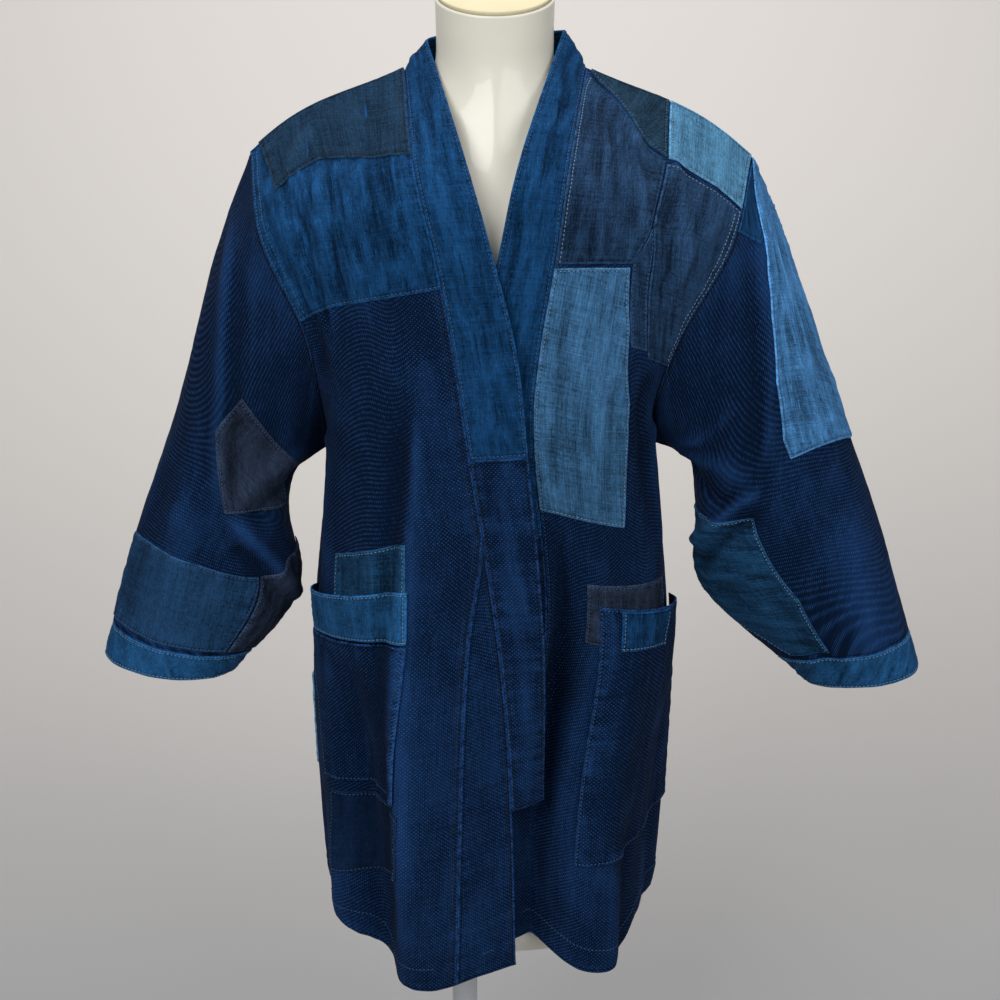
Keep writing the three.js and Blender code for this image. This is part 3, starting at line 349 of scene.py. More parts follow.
# Ridges (+) and troughs (-) listed for each surface: points (u, v), half width mm, height mm.
CREASES = {
    "front_right": [
        ([(0.69, 1.87), (0.69, 1.76), (0.73, 1.66), (0.75, 1.5)], 9, -6),
        ([(0.56, 1.91), (0.58, 1.85), (0.6, 1.75), (0.67, 1.64), (0.7, 1.45)], 6, 4),
        ([(0.5, 1.88), (0.52, 1.76), (0.58, 1.66)], 4, -2.5),
        ([(0.4, 1.88), (0.41, 1.76), (0.45, 1.62)], 4, 2),
        ([(0.25, 1.84), (0.28, 1.72), (0.26, 1.6)], 5, -2),
        ([(0.39, 1.98), (0.56, 1.965), (0.69, 1.94), (0.79, 1.91)], 9, 4.5),
        ([(0.98, 1.86), (0.9, 1.7), (0.86, 1.5), (0.82, 1.3)], 16, -5),
        ([(0.95, 1.08), (0.78, 0.98), (0.6, 0.72)], 16, 4),
        ([(0.98, 0.98), (0.86, 0.84), (0.8, 0.6)], 14, -4),
        ([(0.19, 1.28), (0.22, 1.01), (0.26, 0.86), (0.29, 0.72), (0.32, 0.4), (0.37, -0.1)], 8, 6),
        ([(0.27, 1.25), (0.3, 1.0), (0.34, 0.86), (0.37, 0.7), (0.4, 0.4), (0.44, -0.1)], 10, -8),
        ([(0.2, 1.4), (0.14, 1.1), (0.2, 0.8)], 18, 2.5),
        ([(0.62, 0.35), (0.66, 0.1), (0.68, -0.1)], 14, 4),
        ([(0.8, 0.4), (0.8, 0.15), (0.79, -0.1)], 12, -4),
    ],
    "front_left": [
        ([(0.07, 0.88), (0.07, 0.3)], 8, -9),
        ([(0.04, 1.99), (0.18, 1.97), (0.34, 1.92), (0.4, 1.84), (0.46, 1.76), (0.52, 1.68)], 9, 5),
        ([(0.54, 1.95), (0.63, 1.86), (0.74, 1.78), (0.73, 1.66)], 8, 5),
        ([(0.5, 1.88), (0.58, 1.79), (0.65, 1.72), (0.69, 1.6)], 9, -6),
        ([(0.12, 1.94), (0.2, 1.87), (0.29, 1.7)], 5, 2),
        ([(0.12, 1.56), (0.13, 1.25), (0.1, 0.92)], 7, -3.5),
        ([(0.21, 1.6), (0.34, 1.25), (0.28, 0.9)], 14, 3),
        ([(0.8, 1.4), (0.66, 1.15), (0.62, 0.88)], 14, -5),
        ([(0.96, 1.15), (0.8, 1.0), (0.7, 0.8)], 14, 4),
        ([(0.28, 0.85), (0.24, 0.5), (0.27, 0.1)], 16, 3),
        ([(0.47, 0.4), (0.5, 0.15), (0.52, -0.1)], 11, -5),
        ([(0.4, 0.35), (0.42, 0.1), (0.43, -0.1)], 10, 4),
        ([(0.66, 0.3), (0.68, 0.1), (0.7, -0.1)], 12, 4),
    ],
    "back": [
        ([(-0.9, 1.2), (-0.55, 1.05), (-0.2, 0.8)], 20, 5),
        ([(0.9, 1.2), (0.55, 1.05), (0.2, 0.8)], 20, 5),
        ([(-0.75, 1.75), (-0.6, 1.4), (-0.7, 1.1)], 16, -5),
        ([(0.75, 1.75), (0.62, 1.4), (0.72, 1.1)], 16, -5),
        ([(-0.3, 1.85), (0, 1.78), (0.3, 1.85)], 14, -4),
        ([(-0.4, 0.8), (-0.42, 0.4), (-0.38, -0.1)], 16, 5),
        ([(0.36, 0.8), (0.4, 0.4), (0.42, -0.1)], 16, 5),
        ([(0.12, 0.7), (0.15, 0.3), (0.14, -0.1)], 16, -5),
        ([(-0.12, 0.7), (-0.15, 0.3), (-0.16, -0.1)], 16, -5),
    ],
    "sleeve_right": [
        ([(0.015, 0.08), (0.095, 0.18), (0.19, 0.32), (0.225, 0.43), (0.262, 0.58)], 14, 7),
        ([(0.06, 0.08), (0.13, 0.19), (0.222, 0.31), (0.26, 0.42), (0.29, 0.54)], 14, -6),
        ([(0.255, 0.57), (0.335, 0.6), (0.44, 0.72), (0.5, 0.76)], 13, 8),
        ([(0.275, 0.64), (0.34, 0.67), (0.42, 0.8)], 13, -8),
        ([(0.46, 0.1), (0.4, 0.25), (0.335, 0.4), (0.275, 0.56)], 11, 5),
        ([(0.5, 0.16), (0.44, 0.32), (0.37, 0.46), (0.31, 0.56)], 10, -5),
        ([(0.16, 0.6), (0.19, 0.75), (0.21, 0.96)], 18, 4),
        ([(0.08, 0.55), (0.1, 0.75), (0.11, 0.96)], 16, -3),
        ([(0.97, 0.1), (0.93, 0.3), (0.95, 0.6)], 20, -4),
        ([(0.6, 0.2), (0.68, 0.45), (0.7, 0.8)], 20, 6),
        ([(0.8, 0.15), (0.8, 0.5), (0.78, 0.85)], 22, -6),
    ],
    "sleeve_left": [
        ([(0.02, 0.03), (0.12, 0.16), (0.22, 0.32), (0.275, 0.5)], 13, 7),
        ([(0.055, 0.04), (0.155, 0.18), (0.255, 0.32), (0.3, 0.45)], 12, -6),
        ([(0.27, 0.51), (0.34, 0.5), (0.44, 0.56), (0.5, 0.62)], 11, 8),
        ([(0.28, 0.575), (0.35, 0.57), (0.43, 0.64), (0.48, 0.7)], 12, -9),
        ([(0.49, 0.12), (0.44, 0.24), (0.36, 0.36), (0.3, 0.48)], 10, 5),
        ([(0.5, 0.2), (0.46, 0.32), (0.39, 0.44), (0.34, 0.5)], 10, -5),
        ([(0.255, 0.26), (0.385, 0.21), (0.48, 0.1)], 12, 4),
        ([(0.3, 0.7), (0.31, 0.85), (0.305, 0.98)], 12, -4),
        ([(0.13, 0.62), (0.17, 0.8), (0.2, 0.98)], 18, 4),
        ([(0.6, 0.2), (0.68, 0.45), (0.7, 0.8)], 20, 6),
        ([(0.8, 0.15), (0.8, 0.5), (0.78, 0.85)], 22, -6),
    ],
    "collar_right": [
        ([(0.35, 1.99), (0.45, 1.9), (0.6, 1.8), (0.55, 1.65)], 9, -3),
        ([(0.7, 1.97), (0.75, 1.85), (0.85, 1.7)], 7, 2.5),
        ([(0.3, 1.5), (0.4, 1.3), (0.3, 1.1)], 9, -1.6),
        ([(0.6, 0.9), (0.5, 0.7), (0.55, 0.5)], 12, 2),
    ],
    "collar_left": [
        ([(0.35, 1.99), (0.4, 1.88), (0.3, 1.75)], 9, -3),
        ([(0.7, 1.97), (0.6, 1.85), (0.65, 1.65)], 8, 2.5),
        ([(0.3, 1.4), (0.45, 1.2), (0.4, 1.05)], 10, -1.6),
    ],
}
# Each surface's width for one u and length for one v, in mm.
METRIC = {
    "front_right": (245, 430), "front_left": (225, 430), "back": (255, 440),
    "sleeve_right": (500, 570), "sleeve_left": (490, 590),
    "collar_right": (58, 430), "collar_left": (56, 430),
}


def settings():
    """The add-on's sizes and colours."""
    return bpy.context.scene.boro_jacket


def relief(name, u, v):
    """Height of folds and wrinkles in mm; nothing at a seam that two panels share."""
    width, length = METRIC[name]
    is_sleeve, is_collar = name.startswith("sleeve"), name.startswith("collar")
    turn = np.mod(u, 1) if is_sleeve else u
    x, y = turn * width, v * length
    seed = settings().seed + 10 * sorted(METRIC).index(name)

    def wrinkles(x):
        broad = 2.4 * noise(x / 70, y / 190, seed) + 1.1 * noise(x / 27, y / 70, seed + 1)
        return broad + 0.4 * noise(x / 11, y / 26, seed + 2) + 0.2 * noise(x / 6, y / 9, seed + 3)

    height = wrinkles(x)
    if is_sleeve:  # joined smoothly where u comes round again
        height = height + (wrinkles(x - width) - height) * ramp((turn - 0.85) / 0.15)
    if is_collar:
        height = 0.35 * height + 1.6 * np.sin(np.pi * np.clip(u, 0, 1))
    height = height * settings().wrinkles
    for points, half_width, depth in CREASES[name]:
        line = [(a * width, b * length) for a, b in points]
        height = height + crease(x, y, line, half_width, depth)
    edges = [v] if is_sleeve else [u if name != "back" else 1 + u, 1 - u]
    scales = [length] if is_sleeve else [width, width]
    if not (is_sleeve or is_collar):
        edges, scales = edges + [2 - v], scales + [length]
    for edge, scale in zip(edges, scales):
        height = height * (1 - np.exp(-((np.maximum(edge, 0) * scale / 13) ** 2)))
    return height


def surface_normal(at, u, v, facing):
    """Unit normal of a surface, from small steps across and up."""
    h = 1e-3
    return unit(np.cross(at(u + h, v) - at(u - h, v), at(u, v + h) - at(u, v - h))) * facing


def shaped(name, base, facing):
    """The surface with its folds: base + normal · relief."""

    def at(u, v):
        u, v = np.broadcast_arrays(np.asarray(u, float), np.asarray(v, float))
        return base(u, v) + surface_normal(base, u, v, facing) * relief(name, u, v)[..., None]

    return at


# Each surface with its folds and without them, and the sign that turns (across × up) outwards.
SURFACES = {"back": (shaped("back", back_base, -1), back_base, -1)}
for side, word in ((RIGHT, "right"), (LEFT, "left")):
    for part, make, facing in (
        ("front", front_base, side),
        ("sleeve", sleeve_base, side),
        ("collar", collar_base, -side),
    ):
        base = make(side)
        SURFACES[f"{part}_{word}"] = (shaped(f"{part}_{word}", base, facing), base, facing)

# ------------------------------------------------------------ grids and meshes

EDGE_LINES = np.array([0, 0.7, 1.5, 2.6, 4.2, 6.2, 8.8])
HEM_LINES = np.concatenate([EDGE_LINES, np.arange(11.5, 44, 2.7)])
FACES = {}  # the outer face of each built piece, for the stitches on it


def lines(length, step, first=EDGE_LINES, last=EDGE_LINES):
    """Places along a length about `step` mm apart, closer together towards its ends."""
    first, last = (part * min(1, 0.42 * length / part[-1]) for part in (first, last))
    room = length - first[-1] - last[-1]
    middle = np.linspace(first[-1], length - last[-1], max(2, round(room / step) + 1))
    return np.concatenate([first[:-1], middle, (length - last[:-1])[::-1]])


def stations(curve, low, high, step, first=EDGE_LINES, last=EDGE_LINES):
    """Parameters from low to high that lie `step` mm apart along a curve."""
    t = np.linspace(low, high, 500)
    along = np.concatenate([[0], np.cumsum(np.linalg.norm(np.diff(curve(t), axis=0), axis=1))])
    return np.interp(lines(along[-1], step, first, last), along, t)


def arc_length(points, axis):
    """Length from the first point, along one axis of a grid."""
    steps = np.linalg.norm(np.diff(points, axis=axis), axis=-1)
    start = np.zeros_like(np.take(steps, [0], axis))
    return np.concatenate([start, np.cumsum(steps, axis)], axis)


def grid_normal(points, facing, wraps):
    """Unit normal at each point of a grid; a wrapped grid's last column repeats its first."""
    if wraps:
        ring = points[:-1]
        across = np.roll(ring, -1, 0) - np.roll(ring, 1, 0)
        across = np.concatenate([across, across[:1]])
    else:
        across = np.gradient(points, axis=0)
    return unit(np.cross(across, np.gradient(points, axis=1))) * facing


def add_mesh(name, points, faces, material, layers=()):
    """Mesh from points in mm and arrays of faces; layers are (name, values per corner)."""
    mesh = bpy.data.meshes.new(name)
    corners = np.concatenate([face.ravel() for face in faces])
    sizes = np.concatenate([np.full(len(face), face.shape[1]) for face in faces])
    mesh.vertices.add(len(points))
    mesh.vertices.foreach_set("co", (np.asarray(points) * MM).astype(np.float32).ravel())
    mesh.loops.add(len(corners))
    mesh.loops.foreach_set("vertex_index", corners.astype(np.int32))
    mesh.polygons.add(len(sizes))
    starts = np.concatenate([[0], np.cumsum(sizes)[:-1]])
    mesh.polygons.foreach_set("loop_start", starts.astype(np.int32))
    mesh.polygons.foreach_set("use_smooth", np.ones(len(sizes), bool))
    for layer, values in layers:
        uv = mesh.uv_layers.new(name=layer)
        uv.data.foreach_set("uv", values.astype(np.float32).ravel())
    mesh.materials.append(material)
    mesh.update(calc_edges=True)
    piece = bpy.data.objects.new(name, mesh)
    bpy.context.scene.collection.objects.link(piece)
    return piece


def quads(index):
    """The four-sided faces of a grid of vertex numbers."""
    a, b, c, d = index[:-1, :-1], index[1:, :-1], index[1:, 1:], index[:-1, 1:]
    return np.stack([a, b, c, d], -1).reshape(-1, 4)


def rim(index, wraps):
    """Corner pairs round a grid's open edges, in the order in which its quads turn."""
    if wraps:
        rings = [index[:, 0], index[:, -1][::-1]]
    else:
        rings = [np.concatenate([index[:-1, 0], index[-1, :-1], index[:0:-1, -1], index[0, ::-1]])]
    return np.concatenate([np.stack([ring[1:], ring[:-1]], -1) for ring in rings])


def wall(name, outer, inner, facing, material, layers, wraps=False):
    """Closed wall between two grids. A wrapped grid's last column repeats its first one."""
    n, m = outer.shape[:2]
    index = np.arange(n * m).reshape(n, m)
    corner = np.concatenate([index[:-1], index[:1]]) if wraps else index
    layer = n * m
    order = slice(None) if facing > 0 else slice(None, None, -1)
    parts = []
    for grid in (corner, index):  # the corners, then the places in the layers
        pair = rim(grid, wraps)
        side = np.concatenate([pair, pair[:, ::-1] + layer], 1)
        parts.append([quads(grid)[:, order], quads(grid)[:, ::-1][:, order] + layer, side[:, order]])
    faces, places = parts
    points = np.concatenate([outer.reshape(-1, 3), inner.reshape(-1, 3)])
    if wraps:  # the repeated column isn't used
        used = np.ones(2 * layer, bool)
        used[index[-1]] = used[index[-1] + layer] = False
        renumber = np.cumsum(used) - 1
        points, faces = points[used], [renumber[face] for face in faces]
    place = np.concatenate([face.ravel() for face in places])
    values = [np.tile(np.reshape(layer_values, (-1, 2)) * MM, (2, 1))[place] for layer_values in layers]
    return add_mesh(name, points, faces, material, list(zip(("flat", "edges", "relief"), values)))


def roundness(distance, radius):
    """1 away from an edge, falling on a quarter circle to a thin edge."""
    return 0.12 + 0.88 * np.sqrt(1 - (1 - np.clip(distance / radius, 0, 1)) ** 2)


def declare(piece, name):
    """A cut piece of cloth: attached to the body it rides on, with its CAD solid hidden."""
    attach(piece, "root")
    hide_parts(name)


def detail(kind, s, t, side_distance, end_distance, seed):
    """Crinkles: (1 - |noise|)² drawn long up the cloth; and puckers that die away inwards."""
    height, spacing = CRINKLE[kind]
    ridge = (1 - np.abs(noise(s / spacing, t / (spacing * 7), seed + 2))) ** 2 - 0.4
    ridge = ridge + 0.5 * noise(s / (spacing * 0.5), t / (spacing * 3), seed + 3)
    distance = np.minimum(side_distance, end_distance)
    ripple = np.where(
        side_distance < end_distance,
        noise(t / 5.5, s / 30, seed) + 0.5 * noise(t / 3, s / 20, seed + 1),
        noise(s / 5.5, t / 30, seed) + 0.5 * noise(s / 3, t / 20, seed + 1),
    )
    near = np.exp(-distance / 11) * ramp(distance / 3)
    return height * ridge * ramp((distance - 2) / 10) + settings().pucker * near * ripple


def woven_layers(surface, u, v, side_distance, end_distance, height):
    """What the material reads, in mm: place on the cut cloth, distances to the edges, relief."""
    cut = SURFACES[surface][1](u, v)
    pairs = [
        (arc_length(cut, 0), arc_length(cut, 1)),
        (side_distance, end_distance),
        (height, relief(surface, u, v)),
    ]
    return [np.stack(np.broadcast_arrays(*pair), -1) for pair in pairs]


def panel(name, surface, us, vs, thickness, kind, span=None, wraps=False, hem=0.0, pucker=0.35):
    """Wall on a surface: outer P + n(h - T(1-r)/2), inner P - nT(1+r)/2, with r rounding edges."""
    at, _, facing = SURFACES[surface]
    u, v = np.meshgrid(us, vs, indexing="ij")
    if span:
        low, high = (edge(v) for edge in span)
        u = low + (high - low) * u
    point = at(u, v)
    s, t = arc_length(point, 0), arc_length(point, 1)
    side_distance = 0 * s + 900 if wraps else np.minimum(s, s[-1] - s)
    end_distance = np.minimum(t, t[:, -1:] - t)
    normal = grid_normal(point, facing, wraps)
    seed = settings().seed + 300 + 9 * sorted(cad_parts).index(name)
    height = detail(kind, s, t, side_distance, end_distance, seed) * pucker
    if wraps:  # the same at both ends of the turn
        height = height * ramp(np.minimum(s, s[-1] - s) / 12)
    layers = woven_layers(surface, u, v, side_distance, end_distance, height)
    if hem:  # turned up once, stitched along its top and a little puckered
        height += 0.9 * (1 - ramp((t - hem) / 2.5))
        height -= 0.8 * np.exp(-(((t - hem + 3) / 2.2) ** 2))
        ripple = noise(s / 9, t / 40, seed + 5) + 0.6 * noise(s / 4.5, t / 30, seed + 6)
        height += settings().pucker * ripple * np.exp(-(((t - hem + 6) / 15) ** 2))
    rounding = roundness(np.minimum(side_distance, end_distance), thickness * 0.9)
    outer = point + normal * (height - thickness / 2 * (1 - rounding))[..., None]
    inner = point - normal * (thickness / 2 * (1 + rounding) - np.minimum(height, 0))[..., None]
    if wraps:
        outer[-1], inner[-1] = outer[0], inner[0]
    piece = wall(f"{name}_cloth", outer, inner, facing, cloth(kind), layers, wraps)
    FACES[name] = (outer, normal, s, t)
    declare(piece, name)


def side_of(points, scale, t):
    """A point along one side of an outline, by length."""
    line = np.asarray(points, float)
    along = np.concatenate([[0], np.cumsum(np.hypot(*(np.diff(line, axis=0) * scale).T))])
    along = along / along[-1]
    return np.stack([np.interp(t, along, line[:, k]) for k in (0, 1)], -1)


def outline_grid(outline, scale, a, b):
    """Coons patch: the four sides of an outline filled in; outline lists each side's points."""
    corners = [side[0] for side in outline]
    sides = [[*side, corners[(i + 1) % 4]] for i, side in enumerate(outline)]
    bottom, right = side_of(sides[0], scale, a)[:, None], side_of(sides[1], scale, b)[None]
    top, left = side_of(sides[2][::-1], scale, a)[:, None], side_of(sides[3][::-1], scale, b)[None]
    a, b = a[:, None, None], b[None, :, None]
    c = [np.array(corner, float) for corner in corners]
    straight = (1 - a) * (1 - b) * c[0] + a * (1 - b) * c[1] + a * b * c[2] + (1 - a) * b * c[3]
    return (1 - b) * bottom + b * top + (1 - a) * left + a * right - straight


def patch(name, surface, outline, kind, flat, lift=FIRST_LAYER, thickness=PATCH_CLOTH, rise=None):
    """Wall on a panel: under side P + n·lift, top P + n(lift + T·r + folded edge + detail)."""
    at, base, facing = SURFACES[surface]
    scale = np.array(METRIC[surface], float)
    rough = outline_grid(outline, scale, np.linspace(0, 1, 9), np.linspace(0, 1, 9))
    sizes = at(rough[..., 0], rough[..., 1])
    width = np.linalg.norm(np.diff(sizes, axis=0), axis=-1).sum(0).mean()
    length = np.linalg.norm(np.diff(sizes, axis=1), axis=-1).sum(1).mean()
    place = outline_grid(outline, scale, lines(width, 3.2) / width, lines(length, 3.2) / length)
    u, v = place[..., 0], place[..., 1]
    point = at(u, v)
    normal = surface_normal(at, u, v, facing)
    if rise is not None:
        point = point + surface_normal(base, u, v, facing) * rise(u, v)[..., None]
    s, t = arc_length(point, 0), arc_length(point, 1)
    side_distance, end_distance = np.minimum(s, s[-1] - s), np.minimum(t, t[:, -1:] - t)
    distance = np.minimum(side_distance, end_distance)
    seed = settings().seed + 600 + 9 * sorted(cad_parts).index(name)
    folded = 0.45 * ramp(distance / 1.5) * (1 - ramp((distance - 7.5) / 2.5))
    groove = 0.5 * np.exp(-(((distance - 3.2) / 1.3) ** 2))
    top = thickness * roundness(distance, thickness * 1.1) + folded - groove
    height = detail(kind, s, t, side_distance, end_distance, seed)
    top = top + height
    inner = point + normal * lift
    outer = point + normal * (lift + np.maximum(top, 0.12))[..., None]
    i, j = (k // 2 for k in s.shape)
    turn = np.cross(point[i + 1, j] - point[i, j], point[i, j + 1] - point[i, j]) @ normal[i, j]
    layers = woven_layers(surface, u, v, side_distance, end_distance, height)
    piece = wall(f"{name}_cloth", outer, inner, np.sign(turn), cloth(kind), layers)
    FACES[name] = (outer, normal, s, t)
    declare(piece, name)


# ------------------------------------------------------------ materials


def colour(code):
    """Linear RGBA from an sRGB hex colour."""
    parts = [int(code[i : i + 2], 16) / 255 for i in (1, 3, 5)]
    return [c / 12.92 if c <= 0.04045 else ((c + 0.055) / 1.055) ** 2.4 for c in parts] + [1.0]


def node(tree, kind, inputs=None, out=0, **options):
    """Adds one node, sets or links its inputs, and gives the output asked for."""
    made = tree.nodes.new(kind)
    for key, value in options.items():
        setattr(made, key, value)
    for key, value in (inputs or {}).items():
        if isinstance(value, bpy.types.NodeSocket):
            tree.links.new(value, made.inputs[key])
        else:
            made.inputs[key].default_value = value
    return None if out is None else made.outputs[out]


def new_material(name):
    """An empty node material and its tree."""
    material = bpy.data.materials.new(name)
    material.use_nodes = True
    material.node_tree.nodes.clear()
    return material, material.node_tree


def finish_material(tree, inputs, height=None, depth=0.001):
    """Principled shader with an optional bump whose height is in mm."""
    if height is not None:
        inputs["Normal"] = node(tree, "ShaderNodeBump", {"Distance": depth, "Height": height})
    shader = node(tree, "ShaderNodeBsdfPrincipled", inputs)
    node(tree, "ShaderNodeOutputMaterial", {"Surface": shader}, out=None)


# Cloths: the weave, the crinkles' size in mm and their strength, slub streaks, worn edges together with
# the painted light on puckers, and how much lighter than the middle colour the palest yarn is.
CLOTHS = {
    # thick sashiko-weave cotton, deep indigo with raised paler grains
    "navy_sashiko": dict(weave="sashiko", wave=(8, 50), crinkle=0.25, streak=0.15, wear_and_pucker_shade=0.4, light=5.2),
    # slub cotton crinkled by washing, mid indigo
    "mid_blue_crinkle": dict(weave="plain", wave=(5, 46), crinkle=1.7, streak=0.5, wear_and_pucker_shade=0.6, light=2.7),
    # the same slub cotton, washed paler
    "washed_blue_crinkle": dict(weave="plain", wave=(7, 48), crinkle=1, streak=0.6, wear_and_pucker_shade=0.6, light=2.4),
    # plain cotton washed pale blue
    "light_blue_cotton": dict(weave="plain", wave=(2.6, 18), crinkle=1.5, streak=0.45, wear_and_pucker_shade=0.7, light=2.5),
    # the same cotton, faded by the sun
    "faded_blue_cotton": dict(weave="plain", wave=(4, 34), crinkle=1, streak=0.45, wear_and_pucker_shade=0.6, light=2.1),
    # chambray, blue warp and white weft
    "light_chambray": dict(weave="plain", wave=(2.4, 40), crinkle=1.3, streak=0.7, wear_and_pucker_shade=0.7, light=2.6),
    # a deeper chambray
    "deep_chambray": dict(weave="plain", wave=(3, 22), crinkle=1.5, streak=0.7, wear_and_pucker_shade=0.7, light=3.0),
    # dark slub cotton with cracked lines where it creases
    "dark_slub": dict(weave="plain", wave=(3.2, 22), crinkle=2.8, streak=0.7, wear_and_pucker_shade=0.7, light=3.0),
    # grey-blue chambray
    "grey_blue_chambray": dict(weave="plain", wave=(4, 16), crinkle=0.9, streak=0.6, wear_and_pucker_shade=0.5, light=2.9),
    # the same chambray gone greenish
    "green_grey_chambray": dict(weave="plain", wave=(3.4, 20), crinkle=1.6, streak=0.6, wear_and_pucker_shade=0.5, light=3.0),
    # worn charcoal cotton
    "charcoal_cotton": dict(weave="plain", wave=(3.4, 9), crinkle=1.9, streak=0.5, wear_and_pucker_shade=0.6, light=2.8),
    # light denim twill, dark blue
    "denim": dict(weave="twill", wave=(5, 20), crinkle=0.8, streak=0.5, wear_and_pucker_shade=0.5, light=2.8),
    # unwashed denim, almost navy
    "deep_denim": dict(weave="twill", wave=(7, 30), crinkle=0.4, streak=0.3, wear_and_pucker_shade=0.4, light=2.4),
}
# Crinkle in the mesh: height in mm and spacing in mm.
CRINKLE = {
    "mid_blue_crinkle": (2.2, 8), "washed_blue_crinkle": (1.6, 9), "light_blue_cotton": (1.2, 8),
    "faded_blue_cotton": (0.9, 9), "light_chambray": (1.3, 9), "deep_chambray": (1.3, 9),
    "dark_slub": (1.8, 8), "grey_blue_chambray": (0.7, 11), "green_grey_chambray": (1.0, 9),
    "charcoal_cotton": (1.2, 8), "denim": (0.7, 10), "deep_denim": (0.5, 12),
    "navy_sashiko": (0.5, 13),
}


def mottle(tree, place, sizes, detail=2.0):
    """Soft unevenness whose patches are `sizes` mm across and along."""
    scale = (1 / sizes[0], 1 / sizes[1], 1)
    scaled = node(tree, "ShaderNodeVectorMath", {0: place, 1: scale}, operation="MULTIPLY")
    options = {"Vector": scaled, "Scale": 1.0, "Detail": detail, "Roughness": 0.55}
    return node(tree, "ShaderNodeTexNoise", options)


def fade(tree, value, start, end, low=1.0, high=0.0):
    """Goes from low to high as the value goes from start to end."""
    ends = {"Value": value, "From Min": start, "From Max": end, "To Min": low, "To Max": high}
    return node(tree, "ShaderNodeMapRange", ends)


def layer_mm(tree, name):
    """A UV layer's two numbers in mm: the pair, the first and the second."""
    layer = node(tree, "ShaderNodeUVMap", uv_map=name)
    pair = node(tree, "ShaderNodeVectorMath", {0: layer, "Scale": 1000.0}, operation="SCALE")
    parts = node(tree, "ShaderNodeSeparateXYZ", {0: pair}).node
    return pair, parts.outputs["X"], parts.outputs["Y"]


def weave(tree, kind, place, x, y):
    """Tone and height (mm) of the yarns: a lattice of grains, diagonal wales or plain weave."""
    maths = "ShaderNodeMath"
    if kind == "sashiko":
        slant = node(tree, maths, {0: mottle(tree, place, (5, 7)), 1: 1.1}, operation="MULTIPLY")
        waves = []
        for axis, pitch in ((x, 2.15), (y, 2.0)):
            moved = node(tree, maths, {0: axis, 1: slant}, operation="ADD")
            angle = node(tree, maths, {0: moved, 1: math.pi / pitch}, operation="MULTIPLY")
            waves.append(node(tree, maths, {0: angle}, operation="COSINE"))
        grain = node(tree, maths, {0: waves[0], 1: waves[1]}, operation="MULTIPLY")
        raised = fade(tree, grain, 0.15, 0.8, 0.0, 1.0)
        uneven = fade(tree, mottle(tree, place, (4, 5)), 0.3, 0.7, 0.25, 1.0)
        rubbed = fade(tree, mottle(tree, place, (45, 60), 3), 0.3, 0.7, 0.75, 1.05)
        tone = node(tree, maths, {0: raised, 1: uneven}, operation="MULTIPLY")
        tone = node(tree, maths, {0: tone, 1: rubbed}, operation="MULTIPLY")
        tone = node(tree, maths, {0: tone, 1: 0.62}, operation="MULTIPLY")
        return tone, node(tree, maths, {0: raised, 1: 0.55}, operation="MULTIPLY")
    warp, weft = mottle(tree, place, (0.55, 7)), mottle(tree, place, (7, 0.55))
    threads = node(tree, maths, {0: warp, 1: weft}, operation="ADD")
    if kind == "twill":
        diagonal = node(tree, maths, {0: x, 1: y}, operation="ADD")
        angle = node(tree, maths, {0: diagonal, 1: 2 * math.pi / 2.4}, operation="MULTIPLY")
        wale = node(tree, maths, {0: angle}, operation="SINE")
        threads = node(tree, maths, {0: wale, 1: 0.09, 2: threads}, operation="MULTIPLY_ADD")
    tone = fade(tree, threads, 0.7, 1.35, 0.0, 0.56)
    return tone, node(tree, maths, {0: threads, 1: 0.22}, operation="MULTIPLY")


